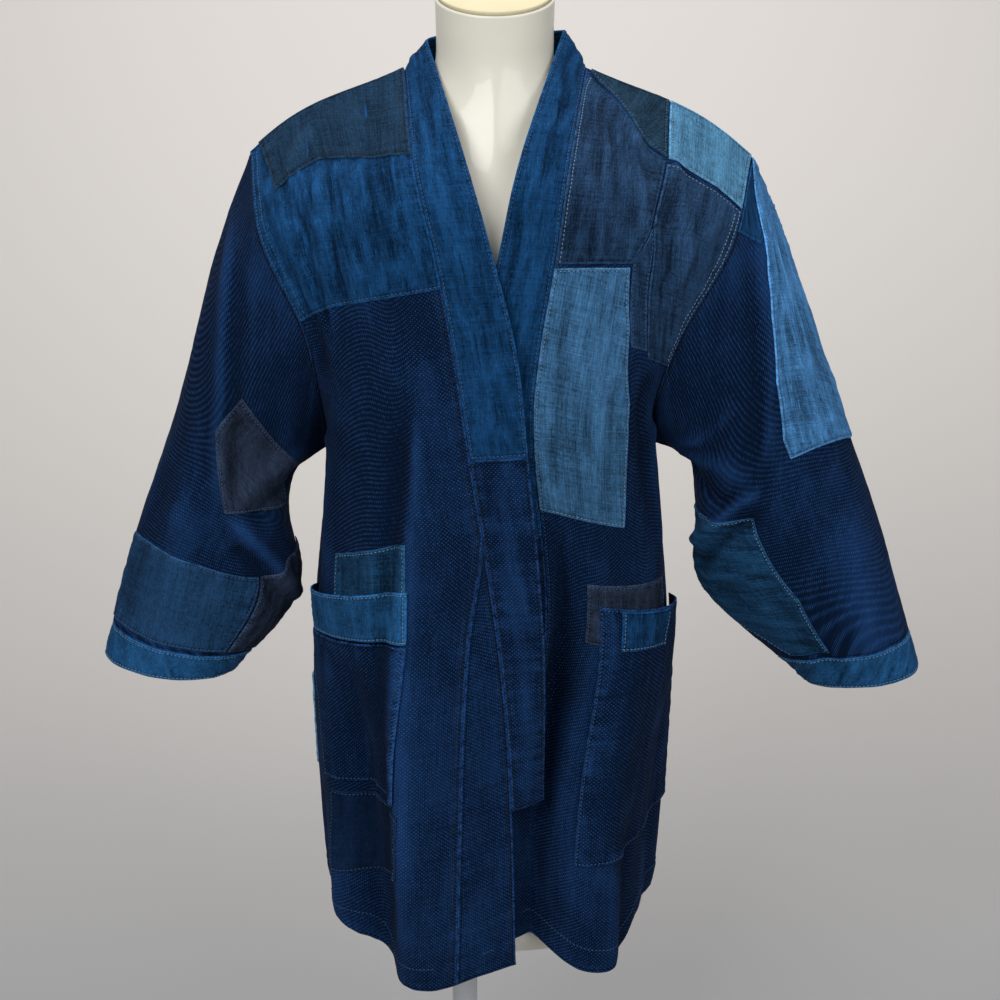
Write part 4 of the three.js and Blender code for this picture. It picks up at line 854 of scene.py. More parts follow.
def cloth(kind):
    """Woven cloth: yarns, slub streaks, washed patches, seams worn pale, painted highlight on crests and
    crinkles, and painted shade in troughs, grooves and puckers.
    """
    name = f"woven_{kind}"
    if name in bpy.data.materials:
        return bpy.data.materials[name]
    spec = CLOTHS[kind]
    material, tree = new_material(name)
    maths = "ShaderNodeMath"
    place, x, y = layer_mm(tree, "flat")
    _, side, end = layer_mm(tree, "edges")
    _, small, folds = layer_mm(tree, "relief")
    nearest = node(tree, maths, {0: side, 1: end}, operation="MINIMUM")
    tone, height = weave(tree, spec["weave"], place, x, y)

    def add(amount, factor):
        nonlocal tone
        tone = node(tree, maths, {0: amount, 1: factor, 2: tone}, operation="MULTIPLY_ADD")

    def lift(amount, factor):
        nonlocal height
        height = node(tree, maths, {0: amount, 1: factor, 2: height}, operation="MULTIPLY_ADD")

    # slub yarns: long paler streaks both ways
    across, down = mottle(tree, place, (60, 1.3), 3), mottle(tree, place, (1.5, 70), 3)
    streak = node(tree, maths, {0: across, 1: down}, operation="ADD")
    add(fade(tree, streak, 0.75, 1.4, -0.25, 0.5), spec["streak"])
    add(fade(tree, mottle(tree, place, (55, 80), 3), 0.3, 0.7, -0.06, 0.06), 1.0)
    # painted highlight on the crests of wrinkles and folds and painted shade in their troughs, read from the
    # relief heights
    add(fade(tree, small, -1.5, 1.5, -0.26, 0.26), 1.0)
    add(fade(tree, folds, -7.0, 7.0, -0.2, 0.2), 1.0)
    # crinkles: sharp lines where the noise crosses its middle, lifted by the bump and given a painted
    # highlight
    wave = mottle(tree, place, spec["wave"], 3)
    wave = node(tree, maths, {0: wave, 1: 0.5}, operation="SUBTRACT")
    crest = fade(tree, node(tree, maths, {0: wave}, operation="ABSOLUTE"), 0.0, 0.045)
    add(crest, 0.16 * spec["crinkle"])
    lift(crest, 0.4 * spec["crinkle"])
    # puckers that run away from a stitched edge, the stitched groove and the folded edge
    puckers = []
    for along, away in ((y, side), (x, end)):
        line = node(tree, "ShaderNodeCombineXYZ", {"X": along, "Y": away})
        ripple = fade(tree, mottle(tree, line, (3.4, 20), 1), 0.35, 0.65, -0.5, 1.0)
        near = fade(tree, away, 1.0, 15.0)
        puckers.append(node(tree, maths, {0: ripple, 1: near}, operation="MULTIPLY"))
    pucker = node(tree, maths, {0: puckers[0], 1: puckers[1]}, operation="MAXIMUM")
    # painted highlight on the pucker ridges and painted shade between them, scaled with the edge wear
    add(pucker, 0.25 * spec["wear_and_pucker_shade"])
    lift(pucker, 0.8)
    groove = node(tree, maths, {0: nearest, 1: 3.3}, operation="SUBTRACT")
    groove = fade(tree, node(tree, maths, {0: groove}, operation="ABSOLUTE"), 0.2, 1.6)
    # painted shade in the stitched groove
    add(groove, -0.14)
    lift(groove, -0.45)
    folded = fade(tree, nearest, 0.6, 2.6)
    worn = fade(tree, mottle(tree, place, (9, 9)), 0.35, 0.6, 0.0, 1.0)
    add(node(tree, maths, {0: folded, 1: worn}, operation="MULTIPLY"), spec["wear_and_pucker_shade"])

    median = getattr(settings(), kind)[:3]
    dark, light = ([*(c * share for c in median), 1.0] for share in (0.33, spec["light"]))
    shade = fade(tree, tone, 0.0, 1.0, 0.0, 1.0)
    mixed = node(tree, "ShaderNodeMix", {"Factor": shade, 6: dark, 7: light}, out=2, data_type="RGBA")
    looks = {"Base Color": mixed, "Roughness": 0.9, "Specular IOR Level": 0.025}
    looks |= {"Sheen Weight": 0.01, "Sheen Roughness": 0.5}
    finish_material(tree, looks, height)
    return material


def smooth_material(name, tint, shade, roughness, size, bump, coat=0.0):
    """Moulded or painted surface: two close tones and a fine unevenness, by Object place."""
    material, tree = new_material(name)
    place = node(tree, "ShaderNodeTexCoord", out="Object")
    cloud = node(tree, "ShaderNodeTexNoise", {"Vector": place, "Scale": 9.0, "Detail": 4.0})
    grain = node(tree, "ShaderNodeTexNoise", {"Vector": place, "Scale": 1 / size, "Detail": 3.0})
    mixed = node(
        tree, "ShaderNodeMix", {"Factor": cloud, 6: colour(tint), 7: colour(shade)},
        out=2, data_type="RGBA",
    )
    rough = fade(tree, cloud, 0.3, 0.7, roughness - 0.05, roughness + 0.07)
    finish_material(tree, {"Base Color": mixed, "Roughness": rough, "Coat Weight": coat}, grain, bump)
    return material


def thread_material(name, tint):
    """Twisted cotton thread: paler and darker plies by Object place."""
    material, tree = new_material(name)
    place = node(tree, "ShaderNodeTexCoord", out="Object")
    twist = node(tree, "ShaderNodeTexNoise", {"Vector": place, "Scale": 900.0, "Detail": 2.0})
    dark = [0.55 * c for c in colour(tint)[:3]] + [1.0]
    mixed = node(
        tree, "ShaderNodeMix", {"Factor": twist, 6: dark, 7: colour(tint)}, out=2, data_type="RGBA",
    )
    finish_material(tree, {"Base Color": mixed, "Roughness": 0.8}, twist, 0.0002)
    return material


# ------------------------------------------------------------ stitches

THREADS = {"pale": "#7493b3", "mid": "#365a84", "dark": "#0a1322"}
THREAD_FLATNESS = 0.8  # a pulled-down thread's height over its width
STITCHES = {name: [] for name in THREADS}


def seam_line(face, side, inset):
    """Grid places at a distance from one side of a face: u0, u1, v0 or v1."""
    outer, _, s, t = face
    n, m = s.shape
    along, across = (s, n) if side[0] == "u" else (t.T, m)
    rows = np.arange(across)
    wanted = [inset if side[1] == "0" else column[-1] - inset for column in along.T]
    found = np.array([np.interp(d, column, rows) for d, column in zip(wanted, along.T)])
    other = np.arange(m if side[0] == "u" else n, dtype=float)
    return (found, other) if side[0] == "u" else (other, found)


def sample(grid, i, j):
    """Bilinear value of a grid at fractional places."""
    a, b = np.minimum(i.astype(int), grid.shape[0] - 2), np.minimum(j.astype(int), grid.shape[1] - 2)
    x, y = (i - a)[:, None], (j - b)[:, None]
    low = grid[a, b] * (1 - x) + grid[a + 1, b] * x
    return low * (1 - y) + (grid[a, b + 1] * (1 - x) + grid[a + 1, b + 1] * x) * y


def points_along(values, along, places):
    """Values of a line at places along its length."""
    return np.stack([np.interp(places, along, values[:, k]) for k in range(3)], -1)


def stitch(node, side, insets, thread):
    """Adds running stitches along a side of a built piece, on its outer face."""
    face = FACES[node]
    for inset in np.atleast_1d(insets):
        i, j = seam_line(face, side, inset)
        points, normals = sample(face[0], i, j), sample(face[1], i, j)
        along = np.concatenate([[0], np.cumsum(np.linalg.norm(np.diff(points, axis=0), axis=1))])
        centres = np.arange(inset, along[-1] - inset, settings().stitch_pitch)
        centre = points_along(points, along, centres)
        ahead, behind = (points_along(points, along, centres + step) for step in (1.2, -1.2))
        normal = unit(points_along(normals, along, centres))
        STITCHES[thread].append((centre, unit(ahead - behind), normal))


def sew(thread):
    """One mesh of every stitch of a thread: four rings of four points along each, two caps."""
    centre, direction, normal = (np.concatenate(part) for part in zip(*STITCHES[thread]))
    across = unit(np.cross(normal, direction))
    normal = np.cross(direction, across)
    lengths = np.array([-0.5, -0.3, 0.3, 0.5]) * settings().stitch_length
    radii = np.array([0.12, 0.42, 0.42, 0.12])
    lifts = np.array([-0.3, 0.12, 0.12, -0.3])
    turn = np.arange(4) * np.pi / 2
    spread = across[:, None, None] * np.cos(turn)[:, None]
    spread = spread + normal[:, None, None] * (THREAD_FLATNESS * np.sin(turn))[:, None]
    points = centre[:, None, None] + direction[:, None, None] * lengths[:, None, None]
    points = points + normal[:, None, None] * lifts[:, None, None] + spread * radii[:, None, None]
    ring = np.arange(4)
    around = np.roll(ring, -1)
    side = np.stack([ring, around, around + 4, ring + 4], -1)
    sides = [side + 4 * step for step in range(3)]
    one = np.concatenate([*sides, [ring[::-1], ring + 12]])
    faces = (one[None] + 16 * np.arange(len(centre))[:, None, None]).reshape(-1, 4)
    cotton = thread_material(f"cotton_thread_{thread}", THREADS[thread])
    piece = add_mesh(f"stitches_{thread}", points.reshape(-1, 3), [faces], cotton)
    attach(piece, "root")


# ------------------------------------------------------------ the pieces



def wedge_edge(v):
    """Width of the wedge in u, closing just above its top."""
    return spline(v, WEDGE_V, WEDGE_U) * (1 - ramp((v - WEDGE_V[-1]) / 0.02))


def level(u):
    """A line of constant u."""
    return lambda v: 0 * v + u


def across_stations(surface, low, high, v, step):
    """Stations in u along a row of a surface."""
    at = SURFACES[surface][0]
    return stations(lambda u: at(u, 0 * u + v), low, high, step)


def up_stations(surface, low, high, u, step, first=EDGE_LINES):
    """Stations in v along a column of a surface."""
    at = SURFACES[surface][0]
    return stations(lambda v: at(0 * v + u, v), low, high, step, first)


def build_fronts():
    """Both front panels, and the wedge between the right one and its front edge."""
    for name, flat, span in (
        ("front_right", (0.3, 1.0, 0.222), (wedge_edge, level(1))),
        ("front_left", (0.3, 0.98, 0.206), None),
    ):
        us = across_stations(name, 0, 1, 0.6, 4.2)
        vs = up_stations(name, 0, 2, 0.5, 4.2, HEM_LINES)
        panel(name, name, us, vs, BODY_CLOTH, "navy_sashiko", span, hem=HEM_DEPTH)
    top = WEDGE_V[-1] + 0.018
    us, vs = lines(44, 3.5) / 44, up_stations("front_right", 0, top, 0.05, 4.2, HEM_LINES)
    wedge = (level(0), wedge_edge)
    flat = (0.07, 0.475, 0.0205)
    panel("front_wedge_right", "front_right", us, vs, BODY_CLOTH, "navy_sashiko", wedge, hem=HEM_DEPTH)


def build_back():
    """The back panel in one piece, from side seam to side seam."""
    us = across_stations("back", -1, 1, 0.6, 5.5)
    vs = up_stations("back", 0, 2, 0.5, 5.5, HEM_LINES)
    panel("back", "back", us, vs, BODY_CLOTH, "navy_sashiko", hem=HEM_DEPTH)


def build_collar():
    """The folded band: a navy length below and a mid-blue one above, on each side."""
    for side, word in ((RIGHT, "right"), (LEFT, "left")):
        surface, change = f"collar_{word}", BAND_CHANGE[side]
        us = lines(57, 3.2) / 57
        for part, low, high, kind in (
            ("lower", BAND_END, change, "navy_sashiko"),
            ("upper", change, 3.0, "mid_blue_crinkle"),
        ):
            vs = up_stations(surface, low, high, 0.5, 3.2)
            panel(f"collar_{part}_{word}", surface, us, vs, BAND_CLOTH, kind, pucker=0.9)


def build_sleeves():
    """Each sleeve as one tube from its armhole, with a cuff band below it."""
    us = np.linspace(-0.5, 0.5, 125)
    for word, flat, cuff in (
        ("right", (0.74, 0.52, 0.192), (0.44, 0.038, 0.0148)),
        ("left", (0.74, 0.535, 0.217), (0.43, 0.045, 0.0165)),
    ):
        surface = f"sleeve_{word}"
        vs = up_stations(surface, 0, CUFF_START, 0.2, 4.2)
        panel(surface, surface, us, vs, BODY_CLOTH, "navy_sashiko", wraps=True)
        vs = up_stations(surface, CUFF_START, 1, 0.2, 2.6)
        panel(f"cuff_{word}", surface, us, vs, CUFF_CLOTH, "light_blue_cotton", wraps=True, pucker=1.1)


# Patches: surface, cloth, flat size, the outline's four sides (each starts at its corner)
# and, for a second layer, its lift.
PATCHES = {
    "yoke_right": (
        "front_right", "mid_blue_crinkle", (0.18, 0.26, 0.0405),
        [[(0, 1.53), (0.66, 1.6)], [(1, 1.61)], [(1, 2)], [(0, 2)]],
    ),
    "shoulder_patch_right": (
        "front_right", "grey_blue_chambray", (0.165, 0.13, 0.0152),
        [[(0, 1.862), (0.56, 1.912)], [(0.845, 1.898)], [(0.94, 2)], [(0, 2)]],
        SECOND_LAYER,
    ),
    "pocket_backing_right": (
        "front_right", "deep_chambray", (0.1, 0.086, 0.0081),
        [[(0.28, 0.74)], [(0.59, 0.73)], [(0.59, 0.845)], [(0.27, 0.87)]],
    ),
    "lower_patch_right": (
        "front_right", "deep_denim", (0.124, 0.095, 0.0109),
        [[(0.34, 0.29)], [(0.64, 0.225)], [(0.64, 0.385)], [(0.32, 0.395)]],
    ),
    "side_patch_right": (
        "front_right", "faded_blue_cotton", (0.018, 0.105, None),
        [[(0.93, 0.37)], [(1, 0.37)], [(1, 0.56)], [(0.93, 0.56)]],
    ),
    "slub_patch_inner_left": (
        "front_left", "dark_slub", (0.095, 0.232, 0.0163),
        [[(0, 1.585)], [(0.425, 1.688), (0.475, 1.79)], [(0.52, 1.91), (0.38, 1.922), (0.2, 1.962)],
         [(0.02, 1.99), (0, 1.97)]],
    ),
    "slub_patch_outer_left": (
        "front_left", "dark_slub", (0.1, 0.208, 0.0146),
        [[(0.7, 1.43)], [(1, 1.45)], [(1, 1.905)], [(0.53, 1.908), (0.49, 1.795)]],
    ),
    "grey_shoulder_patch_left": (
        "front_left", "green_grey_chambray", (0.101, 0.079, 0.0041),
        [[(0.03, 1.994), (0.2, 1.968), (0.38, 1.927)], [(0.525, 1.916)], [(0.5, 2)], [(0.03, 2)]],
    ),
    "blue_shoulder_patch_left": (
        "front_left", "faded_blue_cotton", (0.096, 0.08, 0.0071),
        [[(0.535, 1.915)], [(1, 1.911)], [(1, 2)], [(0.505, 2)]],
    ),
    "chambray_patch_left": (
        "front_left", "light_chambray", (0.093, 0.266, 0.0239),
        [[(0, 0.89)], [(0.41, 0.88), (0.46, 0.98), (0.55, 1.23), (0.51, 1.5)], [(0.42, 1.675)],
         [(0, 1.575)]],
    ),
    "strip_patch_left": (
        "front_left", "dark_slub", (0.026, 0.123, 0.0021),
        [[(0.535, 1.445)], [(0.68, 1.455), (0.572, 1.64)], [(0.482, 1.79)], [(0.428, 1.692)]],
    ),
    "pocket_backing_left": (
        "front_left", "charcoal_cotton", (0.112, 0.065, 0.0071),
        [[(0.19, 0.69)], [(0.66, 0.7)], [(0.7, 0.8)], [(0.2, 0.79)]],
    ),
    "charcoal_patch_right": (
        "sleeve_right", "charcoal_cotton", (0.118, 0.135, 0.0088),
        [[(0.24, 0.28)], [(0.44, 0.2)], [(0.45, 0.42)], [(0.262, 0.565), (0.21, 0.41)]],
    ),
    "denim_patch_right": (
        "sleeve_right", "denim", (0.17, 0.1, 0.0162),
        [[(0.03, 0.735)], [(0.35, 0.7)], [(0.35, 0.915)], [(0.03, 0.915)]],
    ),
    "under_sleeve_right": (
        "sleeve_right", "charcoal_cotton", (0.104, 0.125, 0.0108),
        [[(0.355, 0.7), (0.44, 0.62)], [(0.55, 0.6)], [(0.55, 0.915)], [(0.355, 0.915)]],
    ),
    "long_patch_left": (
        "sleeve_left", "washed_blue_crinkle", (0.162, 0.319, 0.0436),
        [[(-0.12, 0.004)], [(0, 0.004), (0.135, 0.205), (0.195, 0.31), (0.22, 0.43)],
         [(0.215, 0.48), (0.035, 0.55)], [(-0.12, 0.56)]],
    ),
    "small_strip_left": (
        "sleeve_left", "mid_blue_crinkle", (0.045, 0.083, 0.00144),
        [[(0.006, 0.004)], [(0.064, 0.004)], [(0.062, 0.08)], [(0.055, 0.08)]],
    ),
    "under_sleeve_left": (
        "sleeve_left", "deep_chambray", (0.213, 0.12, 0.0175),
        [[(0.31, 0.56), (0.27, 0.79)], [(0.285, 0.915)], [(0.38, 0.915), (0.5, 0.74)], [(0.5, 0.46)]],
    ),
}
POCKETS = {
    RIGHT: dict(inner=0.27, outer=0.82, mouth=0.79, gape=16),
    LEFT: dict(inner=0.25, outer=0.92, mouth=0.76, gape=12),
}


def pocket_lift(side):
    """Stands out by gape · sin(πx) · y², with x across the pocket and y up to its mouth."""
    pocket = POCKETS[side]

    def lift(u, v):
        across = np.clip((u - pocket["inner"]) / (pocket["outer"] - pocket["inner"]), 0, 1)
        near = np.clip(1 - (pocket["mouth"] - v) / 0.3, 0, 1)
        return pocket["gape"] * np.sin(np.pi * across) * near**2

    return lift


def build_patches():
    """Every patch that lies flat on a panel or a sleeve."""
    for name, (surface, kind, flat, outline, *lift) in PATCHES.items():
        patch(name, surface, outline, kind, flat, *lift)


def build_pockets():
    """Each pocket's pouch and band, with the small patch on the left pouch."""
    right, left = pocket_lift(RIGHT), pocket_lift(LEFT)
    on_pouch = SECOND_LAYER + POCKET_CLOTH + 0.5
    patch(
        "pocket_right", "front_right",
        [[(0.33, 0.41)], [(0.66, 0.405)], [(0.79, 0.698)], [(0.28, 0.711)]],
        "navy_sashiko", (0.162, 0.172, 0.0242), SECOND_LAYER, POCKET_CLOTH, right,
    )
    patch(
        "pocket_band_right", "front_right",
        [[(0.28, 0.715)], [(0.79, 0.702)], [(0.82, 0.775)], [(0.27, 0.8)]],
        "light_blue_cotton", (0.178, 0.054, 0.0086), SECOND_LAYER, POCKET_CLOTH, right,
    )
    patch(
        "pocket_left", "front_left",
        [[(0.26, 0.295)], [(0.92, 0.335)], [(0.92, 0.76)], [(0.25, 0.76)]],
        "navy_sashiko", (0.172, 0.285, 0.0432), SECOND_LAYER, POCKET_CLOTH, left,
    )
    patch(
        "pocket_patch_left", "front_left",
        [[(0.33, 0.685)], [(0.58, 0.69)], [(0.6, 0.757)], [(0.34, 0.757)]],
        "mid_blue_crinkle", (0.066, 0.044, 0.0028), on_pouch, PATCH_CLOTH, left,
    )


def build_stitches():
    """Running stitches: the piece, its sides, how far in from them, and the thread."""
    for name in STITCHES:
        STITCHES[name] = []
    for name, sides, insets, thread in (
        ("front_right", "v0", HEM_DEPTH - 3, "mid"), ("front_left", "v0", HEM_DEPTH - 3, "mid"),
        ("front_wedge_right", "v0", HEM_DEPTH - 3, "mid"), ("back", "v0", HEM_DEPTH - 3, "mid"),
        ("front_right", "u0", (3, 8), "dark"), ("front_left", "u0", 3, "mid"),
        ("front_wedge_right", "u0", 4, "dark"),
        ("cuff_right", "v0 v1", 3, "pale"), ("cuff_left", "v0 v1", 3, "pale"),
        ("sleeve_right", "v0", 4, "dark"), ("sleeve_left", "v0", 4, "dark"),
        ("collar_upper_right", "u0 u1 v0", 3, "mid"), ("collar_upper_left", "u0 u1 v0", 3, "mid"),
        ("collar_lower_right", "u0 u1", 3, "dark"), ("collar_lower_left", "u0 u1", 3, "dark"),
        ("yoke_right", "v0", 3, "mid"), ("yoke_right", "u1", (3, 9), "mid"),
        ("shoulder_patch_right", "v0 u1 u0", (3, 7), "dark"),
        ("pocket_backing_right", "u0 u1 v1", 3, "pale"), ("lower_patch_right", "u0 u1 v0 v1", 3, "mid"),
        ("side_patch_right", "u0 v0 v1", 3, "pale"), ("slub_patch_inner_left", "u0", 4, "pale"),
        ("slub_patch_outer_left", "u1", (3, 9), "pale"), ("slub_patch_outer_left", "v1", 3, "pale"),
        ("grey_shoulder_patch_left", "u1 v0", 3, "mid"), ("blue_shoulder_patch_left", "v0 u1 u0", 3, "pale"),
        ("chambray_patch_left", "u0 u1 v0 v1", 3, "pale"), ("strip_patch_left", "u0 u1 v0", 3, "mid"),
        ("pocket_backing_left", "v1 u0 u1", 3, "mid"), ("charcoal_patch_right", "u0 u1 v0 v1", 3, "mid"),
        ("denim_patch_right", "u0 u1 v0 v1", 3, "mid"), ("under_sleeve_right", "u0 v0", 3, "mid"),
        ("long_patch_left", "u0 u1 v0 v1", 3, "mid"), ("under_sleeve_left", "u0 v0 v1", 3, "pale"),
        ("pocket_right", "u0 u1 v0", 3, "mid"), ("pocket_band_right", "u0 u1 v0 v1", 3, "pale"),
        ("pocket_left", "u0 u1 v0 v1", 3, "mid"), ("pocket_patch_left", "u0 u1 v0", 3, "pale"),
    ):
        for side in sides.split():
            stitch(name, side, insets, thread)
    for name in THREADS:
        sew(name)


# ------------------------------------------------------------ dress form and stand


def loft(name, rings, material):
    """Closed skin through rings of points, with a flat face at each end."""
    rings = np.asarray(rings)
    count, around = rings.shape[:2]
    index = np.arange(count * around).reshape(count, around)
    closed = np.concatenate([index, index[:, :1]], 1)
    skin = quads(closed.T)
    return add_mesh(name, rings.reshape(-1, 3), [skin, index[:1, ::-1], index[-1:]], material)


def form_ring(half, front, back, power, height, around=128):
    """x = a·|cos|^(2/n), y = b·|sin|^(2/n), with its own depth in front and behind."""
    angle = 2 * np.pi * np.arange(around) / around
    cosine, sine = np.cos(angle), np.sin(angle)
    y = np.where(sine < 0, front, back) * np.sign(sine) * np.abs(sine) ** (2 / power)
    x = FORM_X + half * np.sign(cosine) * np.abs(cosine) ** (2 / power)
    return np.stack([x, y, height(y)], -1)


def neck_top(y):
    """The neck's slanted cut: height = middle + slope · y."""
    return NECK_TOP_Z + NECK_SLOPE * y


def build_form():
    """The dress form through its sections, its neck cap, and the pole and base under it."""
    z = FORM_SECTIONS[:, 0]
    bottom, rounded, neck = z[0], z[3], z[-1]
    heights = np.concatenate([np.linspace(bottom, rounded, 14)[:-1], np.linspace(rounded, neck, 170)])
    sizes = spline(heights, z, FORM_SECTIONS[:, 1:])
    rings = [form_ring(*size, lambda y, h=h: h + 0 * y) for h, size in zip(heights, sizes)]
    last, final = rings[-1], form_ring(*NECK_TOP_SIZES, 2.0, neck_top)
    rings += [last + (final - last) * t for t in np.linspace(0, 1, 12)[1:]]
    shell = smooth_material("form_shell", "#dbd8cb", "#d2cebd", 0.4, 0.004, 0.00006, 0.25)
    made = [("dress_form", loft("form_skin", rings, shell), "form_shell")]
    rims = []
    for inset, lift in CAP_RIMS:
        sizes = [size - inset for size in NECK_TOP_SIZES]
        rims.append(form_ring(*sizes, 2.0, lambda y, lift=lift: neck_top(y) + lift))
    cap = smooth_material("cap_board", "#c6bd9c", "#b5ab8a", 0.8, 0.0015, 0.0002)
    made.append(("neck_cap", loft("neck_cap_board", rims, cap), "cap_cloth"))
    metal = smooth_material("powder_coated_stand", "#b9bbbd", "#a8aaad", 0.45, 0.0012, 0.0001)
    flange_top = bottom - SOLID_GAP
    flange = flange_top - FLANGE_THICKNESS
    for node_name, x, corners in (
        ("stand_base", 0, [(BASE_RADIUS, 0, 2), (BASE_RADIUS, BASE_THICKNESS, 2)]),
        ("stand_pole", POLE_X, [
            (POLE_RADIUS, BASE_THICKNESS + SOLID_GAP, 0.5), (POLE_RADIUS, flange, 1),
            (FLANGE_RADIUS, flange, 1), (FLANGE_RADIUS, flange_top, 1),
        ]),
    ):
        made.append((node_name, loft(f"{node_name}_turned", turned(corners, x), metal), "stand_metal"))
    for node_name, piece, slot in made:
        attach(piece, "root")
        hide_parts(node_name)


def turned(corners, x, around=72):
    """Rings about a vertical line through x, from a profile with small rounded corners."""
    angle = 2 * np.pi * np.arange(around) / around
    path = [(0.5, corners[0][1])] + [c[:2] for c in corners] + [(0.5, corners[-1][1])]
    profile = [path[0]]
    for before, at, after, (_, _, size) in zip(path[:-2], path[1:-1], path[2:], corners):
        at = np.array(at, float)
        ends = [at + size * unit(np.array(other, float) - at) for other in (before, after)]
        for t in np.linspace(0, 1, 5):
            profile.append((1 - t) ** 2 * ends[0] + 2 * t * (1 - t) * at + t * t * ends[1])
    profile.append(path[-1])
    return [np.stack([x + r * np.cos(angle), r * np.sin(angle), z + 0 * angle], -1) for r, z in profile]


# ------------------------------------------------------------ the stage


def painted_falloff_paper():
    """Matt grey paper with a painted light falloff: darker at the front of the floor, paler up to the wall.
    """
    material, tree = new_material("graded_grey_paper")
    place = node(tree, "ShaderNodeTexCoord", out="Object")
    depth = node(tree, "ShaderNodeSeparateXYZ", {0: place}, out="Y")
    grain = node(tree, "ShaderNodeTexNoise", {"Vector": place, "Scale": 330.0, "Detail": 3.0})
    # painted shade: the paper's tone goes from darker near the camera to paler at the wall
    blend = {"Factor": fade(tree, depth, 0.2, 2.4, 0.0, 1.0), 6: colour("#8e8e8f"), 7: colour("#c6c1bc")}
    mixed = node(tree, "ShaderNodeMix", blend, out=2, data_type="RGBA")
    finish_material(tree, {"Base Color": mixed, "Roughness": 0.9}, grain, 0.00005)
    return material


# Each lamp's place and target in metres, its size in metres and its power in watts.
LAMPS = {
    "key_lamp": ((-1.3, -2.7, 2.5), (0, 0, 0.85), 1.6, 66),
    "fill_lamp": ((1.7, -2.5, 2.1), (0, 0, 0.8), 1.8, 38),
    "backdrop_lamp": ((0, 0.6, 3.2), (0, 2.3, 0.5), 1.6, 75),
}
CAMERA_PLACE, CAMERA_PITCH, CAMERA_LENS = (0, -2.0, 1.394), 17, 71.28  # metres, degrees down, mm
WORLD_STRENGTH = 0.38


def build_stage():
    """Pale floor that curves up into a backdrop, three soft lamps and the camera."""
    x = np.linspace(-5000, 5000, 40)
    angle = np.linspace(0, np.pi / 2, 30)
    y = np.concatenate([[-4000, -2000, 0], 900 + 1500 * np.sin(angle), [2400]])
    z = np.concatenate([[0, 0, 0], 1500 * (1 - np.cos(angle)), [5000]])
    grid = np.stack(np.broadcast_arrays(x[:, None], y[None], z[None]), -1)
    index = np.arange(grid.shape[0] * grid.shape[1]).reshape(grid.shape[:2])
    paper = painted_falloff_paper()
    floor = add_mesh("backdrop", grid.reshape(-1, 3), [quads(index)], paper)
    scene = bpy.context.scene
    for name, (place, target, size, watts) in LAMPS.items():
        light = bpy.data.lights.new(name, "AREA")
        light.energy, light.size = watts, size
        lamp = bpy.data.objects.new(name, light)
        lamp.location = place
        aim = np.array(target) - place
        lamp.rotation_euler = (math.atan2(math.hypot(*aim[:2]), -aim[2]), 0, math.atan2(-aim[0], aim[1]))
        scene.collection.objects.link(lamp)
    world = bpy.data.worlds.new("studio")
    world.use_nodes = True
    background = next(n for n in world.node_tree.nodes if n.type == "BACKGROUND")
    background.inputs["Color"].default_value = colour("#d7dade")
    background.inputs["Strength"].default_value = WORLD_STRENGTH
    scene.world = world
    lens = bpy.data.cameras.new("camera")
    lens.lens, lens.sensor_width, lens.clip_end = CAMERA_LENS, 36, 50
    camera = bpy.data.objects.new("camera", lens)
    camera.location = CAMERA_PLACE
    camera.rotation_euler = (math.radians(90 - CAMERA_PITCH), 0, 0)
    scene.collection.objects.link(camera)
    scene.camera = camera
    scene.view_settings.view_transform = "Standard"


# ------------------------------------------------------------ the add-on


def tint(name, description, code):
    """A colour that the user can change, given by its sRGB hex."""
    return FloatVectorProperty(
        name=name, description=description, subtype="COLOR", size=4, min=0, max=1, default=colour(code)
    )


class BoroJacketSettings(bpy.types.PropertyGroup):
    """Sizes and colours of the jacket's cloth and thread."""

    wrinkles: FloatProperty(
        name="Wrinkles", description="How strong the small wrinkles are", default=1.0, min=0, max=2
    )
    pucker: FloatProperty(
        name="Pucker", description="How far cloth ripples beside a stitched edge, in mm",
        default=1.0, min=0, max=2,
    )
    stitch_pitch: FloatProperty(
        name="Stitch pitch", description="From one running stitch to the next, in mm",
        default=4.2, min=2, max=12,
    )
    stitch_length: FloatProperty(
        name="Stitch length", description="How much of a stitch shows, in mm", default=3.0, min=1, max=8
    )
    seed: IntProperty(
        name="Seed", description="Which set of wrinkles and crinkles is used", default=7, min=0
    )
    navy_sashiko: tint("Navy sashiko", "The thick cloth of the fronts, back and sleeves", "#11294b")
    mid_blue_crinkle: tint("Mid-blue crinkle", "The yoke, the upper bands and the long patch", "#0f3255")
    washed_blue_crinkle: tint("Washed blue crinkle", "The long patch of the left sleeve", "#3c6c9a")
    light_blue_cotton: tint("Light blue cotton", "The cuffs and the pocket band", "#1c4972")
    faded_blue_cotton: tint("Faded blue cotton", "The left shoulder and the right side", "#467494")
    light_chambray: tint("Light chambray", "The left chest", "#32587a")
    deep_chambray: tint("Deep chambray", "The pocket backing and under the left sleeve", "#153552")
    dark_slub: tint("Dark slub", "The patches beside the left armhole", "#1a2f48")
    grey_blue_chambray: tint("Grey-blue chambray", "The right shoulder patch", "#152a3e")
    green_grey_chambray: tint("Green-grey chambray", "The left shoulder strip", "#172b3b")
    charcoal_cotton: tint("Charcoal cotton", "The right sleeve's patches", "#242e40")
    denim: tint("Denim", "Above the right cuff", "#193553")
    deep_denim: tint("Deep denim", "Below the right pocket", "#0e203a")


class BORO_OT_fronts(bpy.types.Operator):
    """Builds both front panels and the wedge beside the right edge"""

    bl_idname = "boro.fronts"
    bl_label = "Build fronts"

    def execute(self, context):
        build_fronts()
        return {"FINISHED"}


class BORO_OT_back(bpy.types.Operator):
    """Builds the back panel, round to both side seams"""

    bl_idname = "boro.back"
    bl_label = "Build back"

    def execute(self, context):
        build_back()
        return {"FINISHED"}


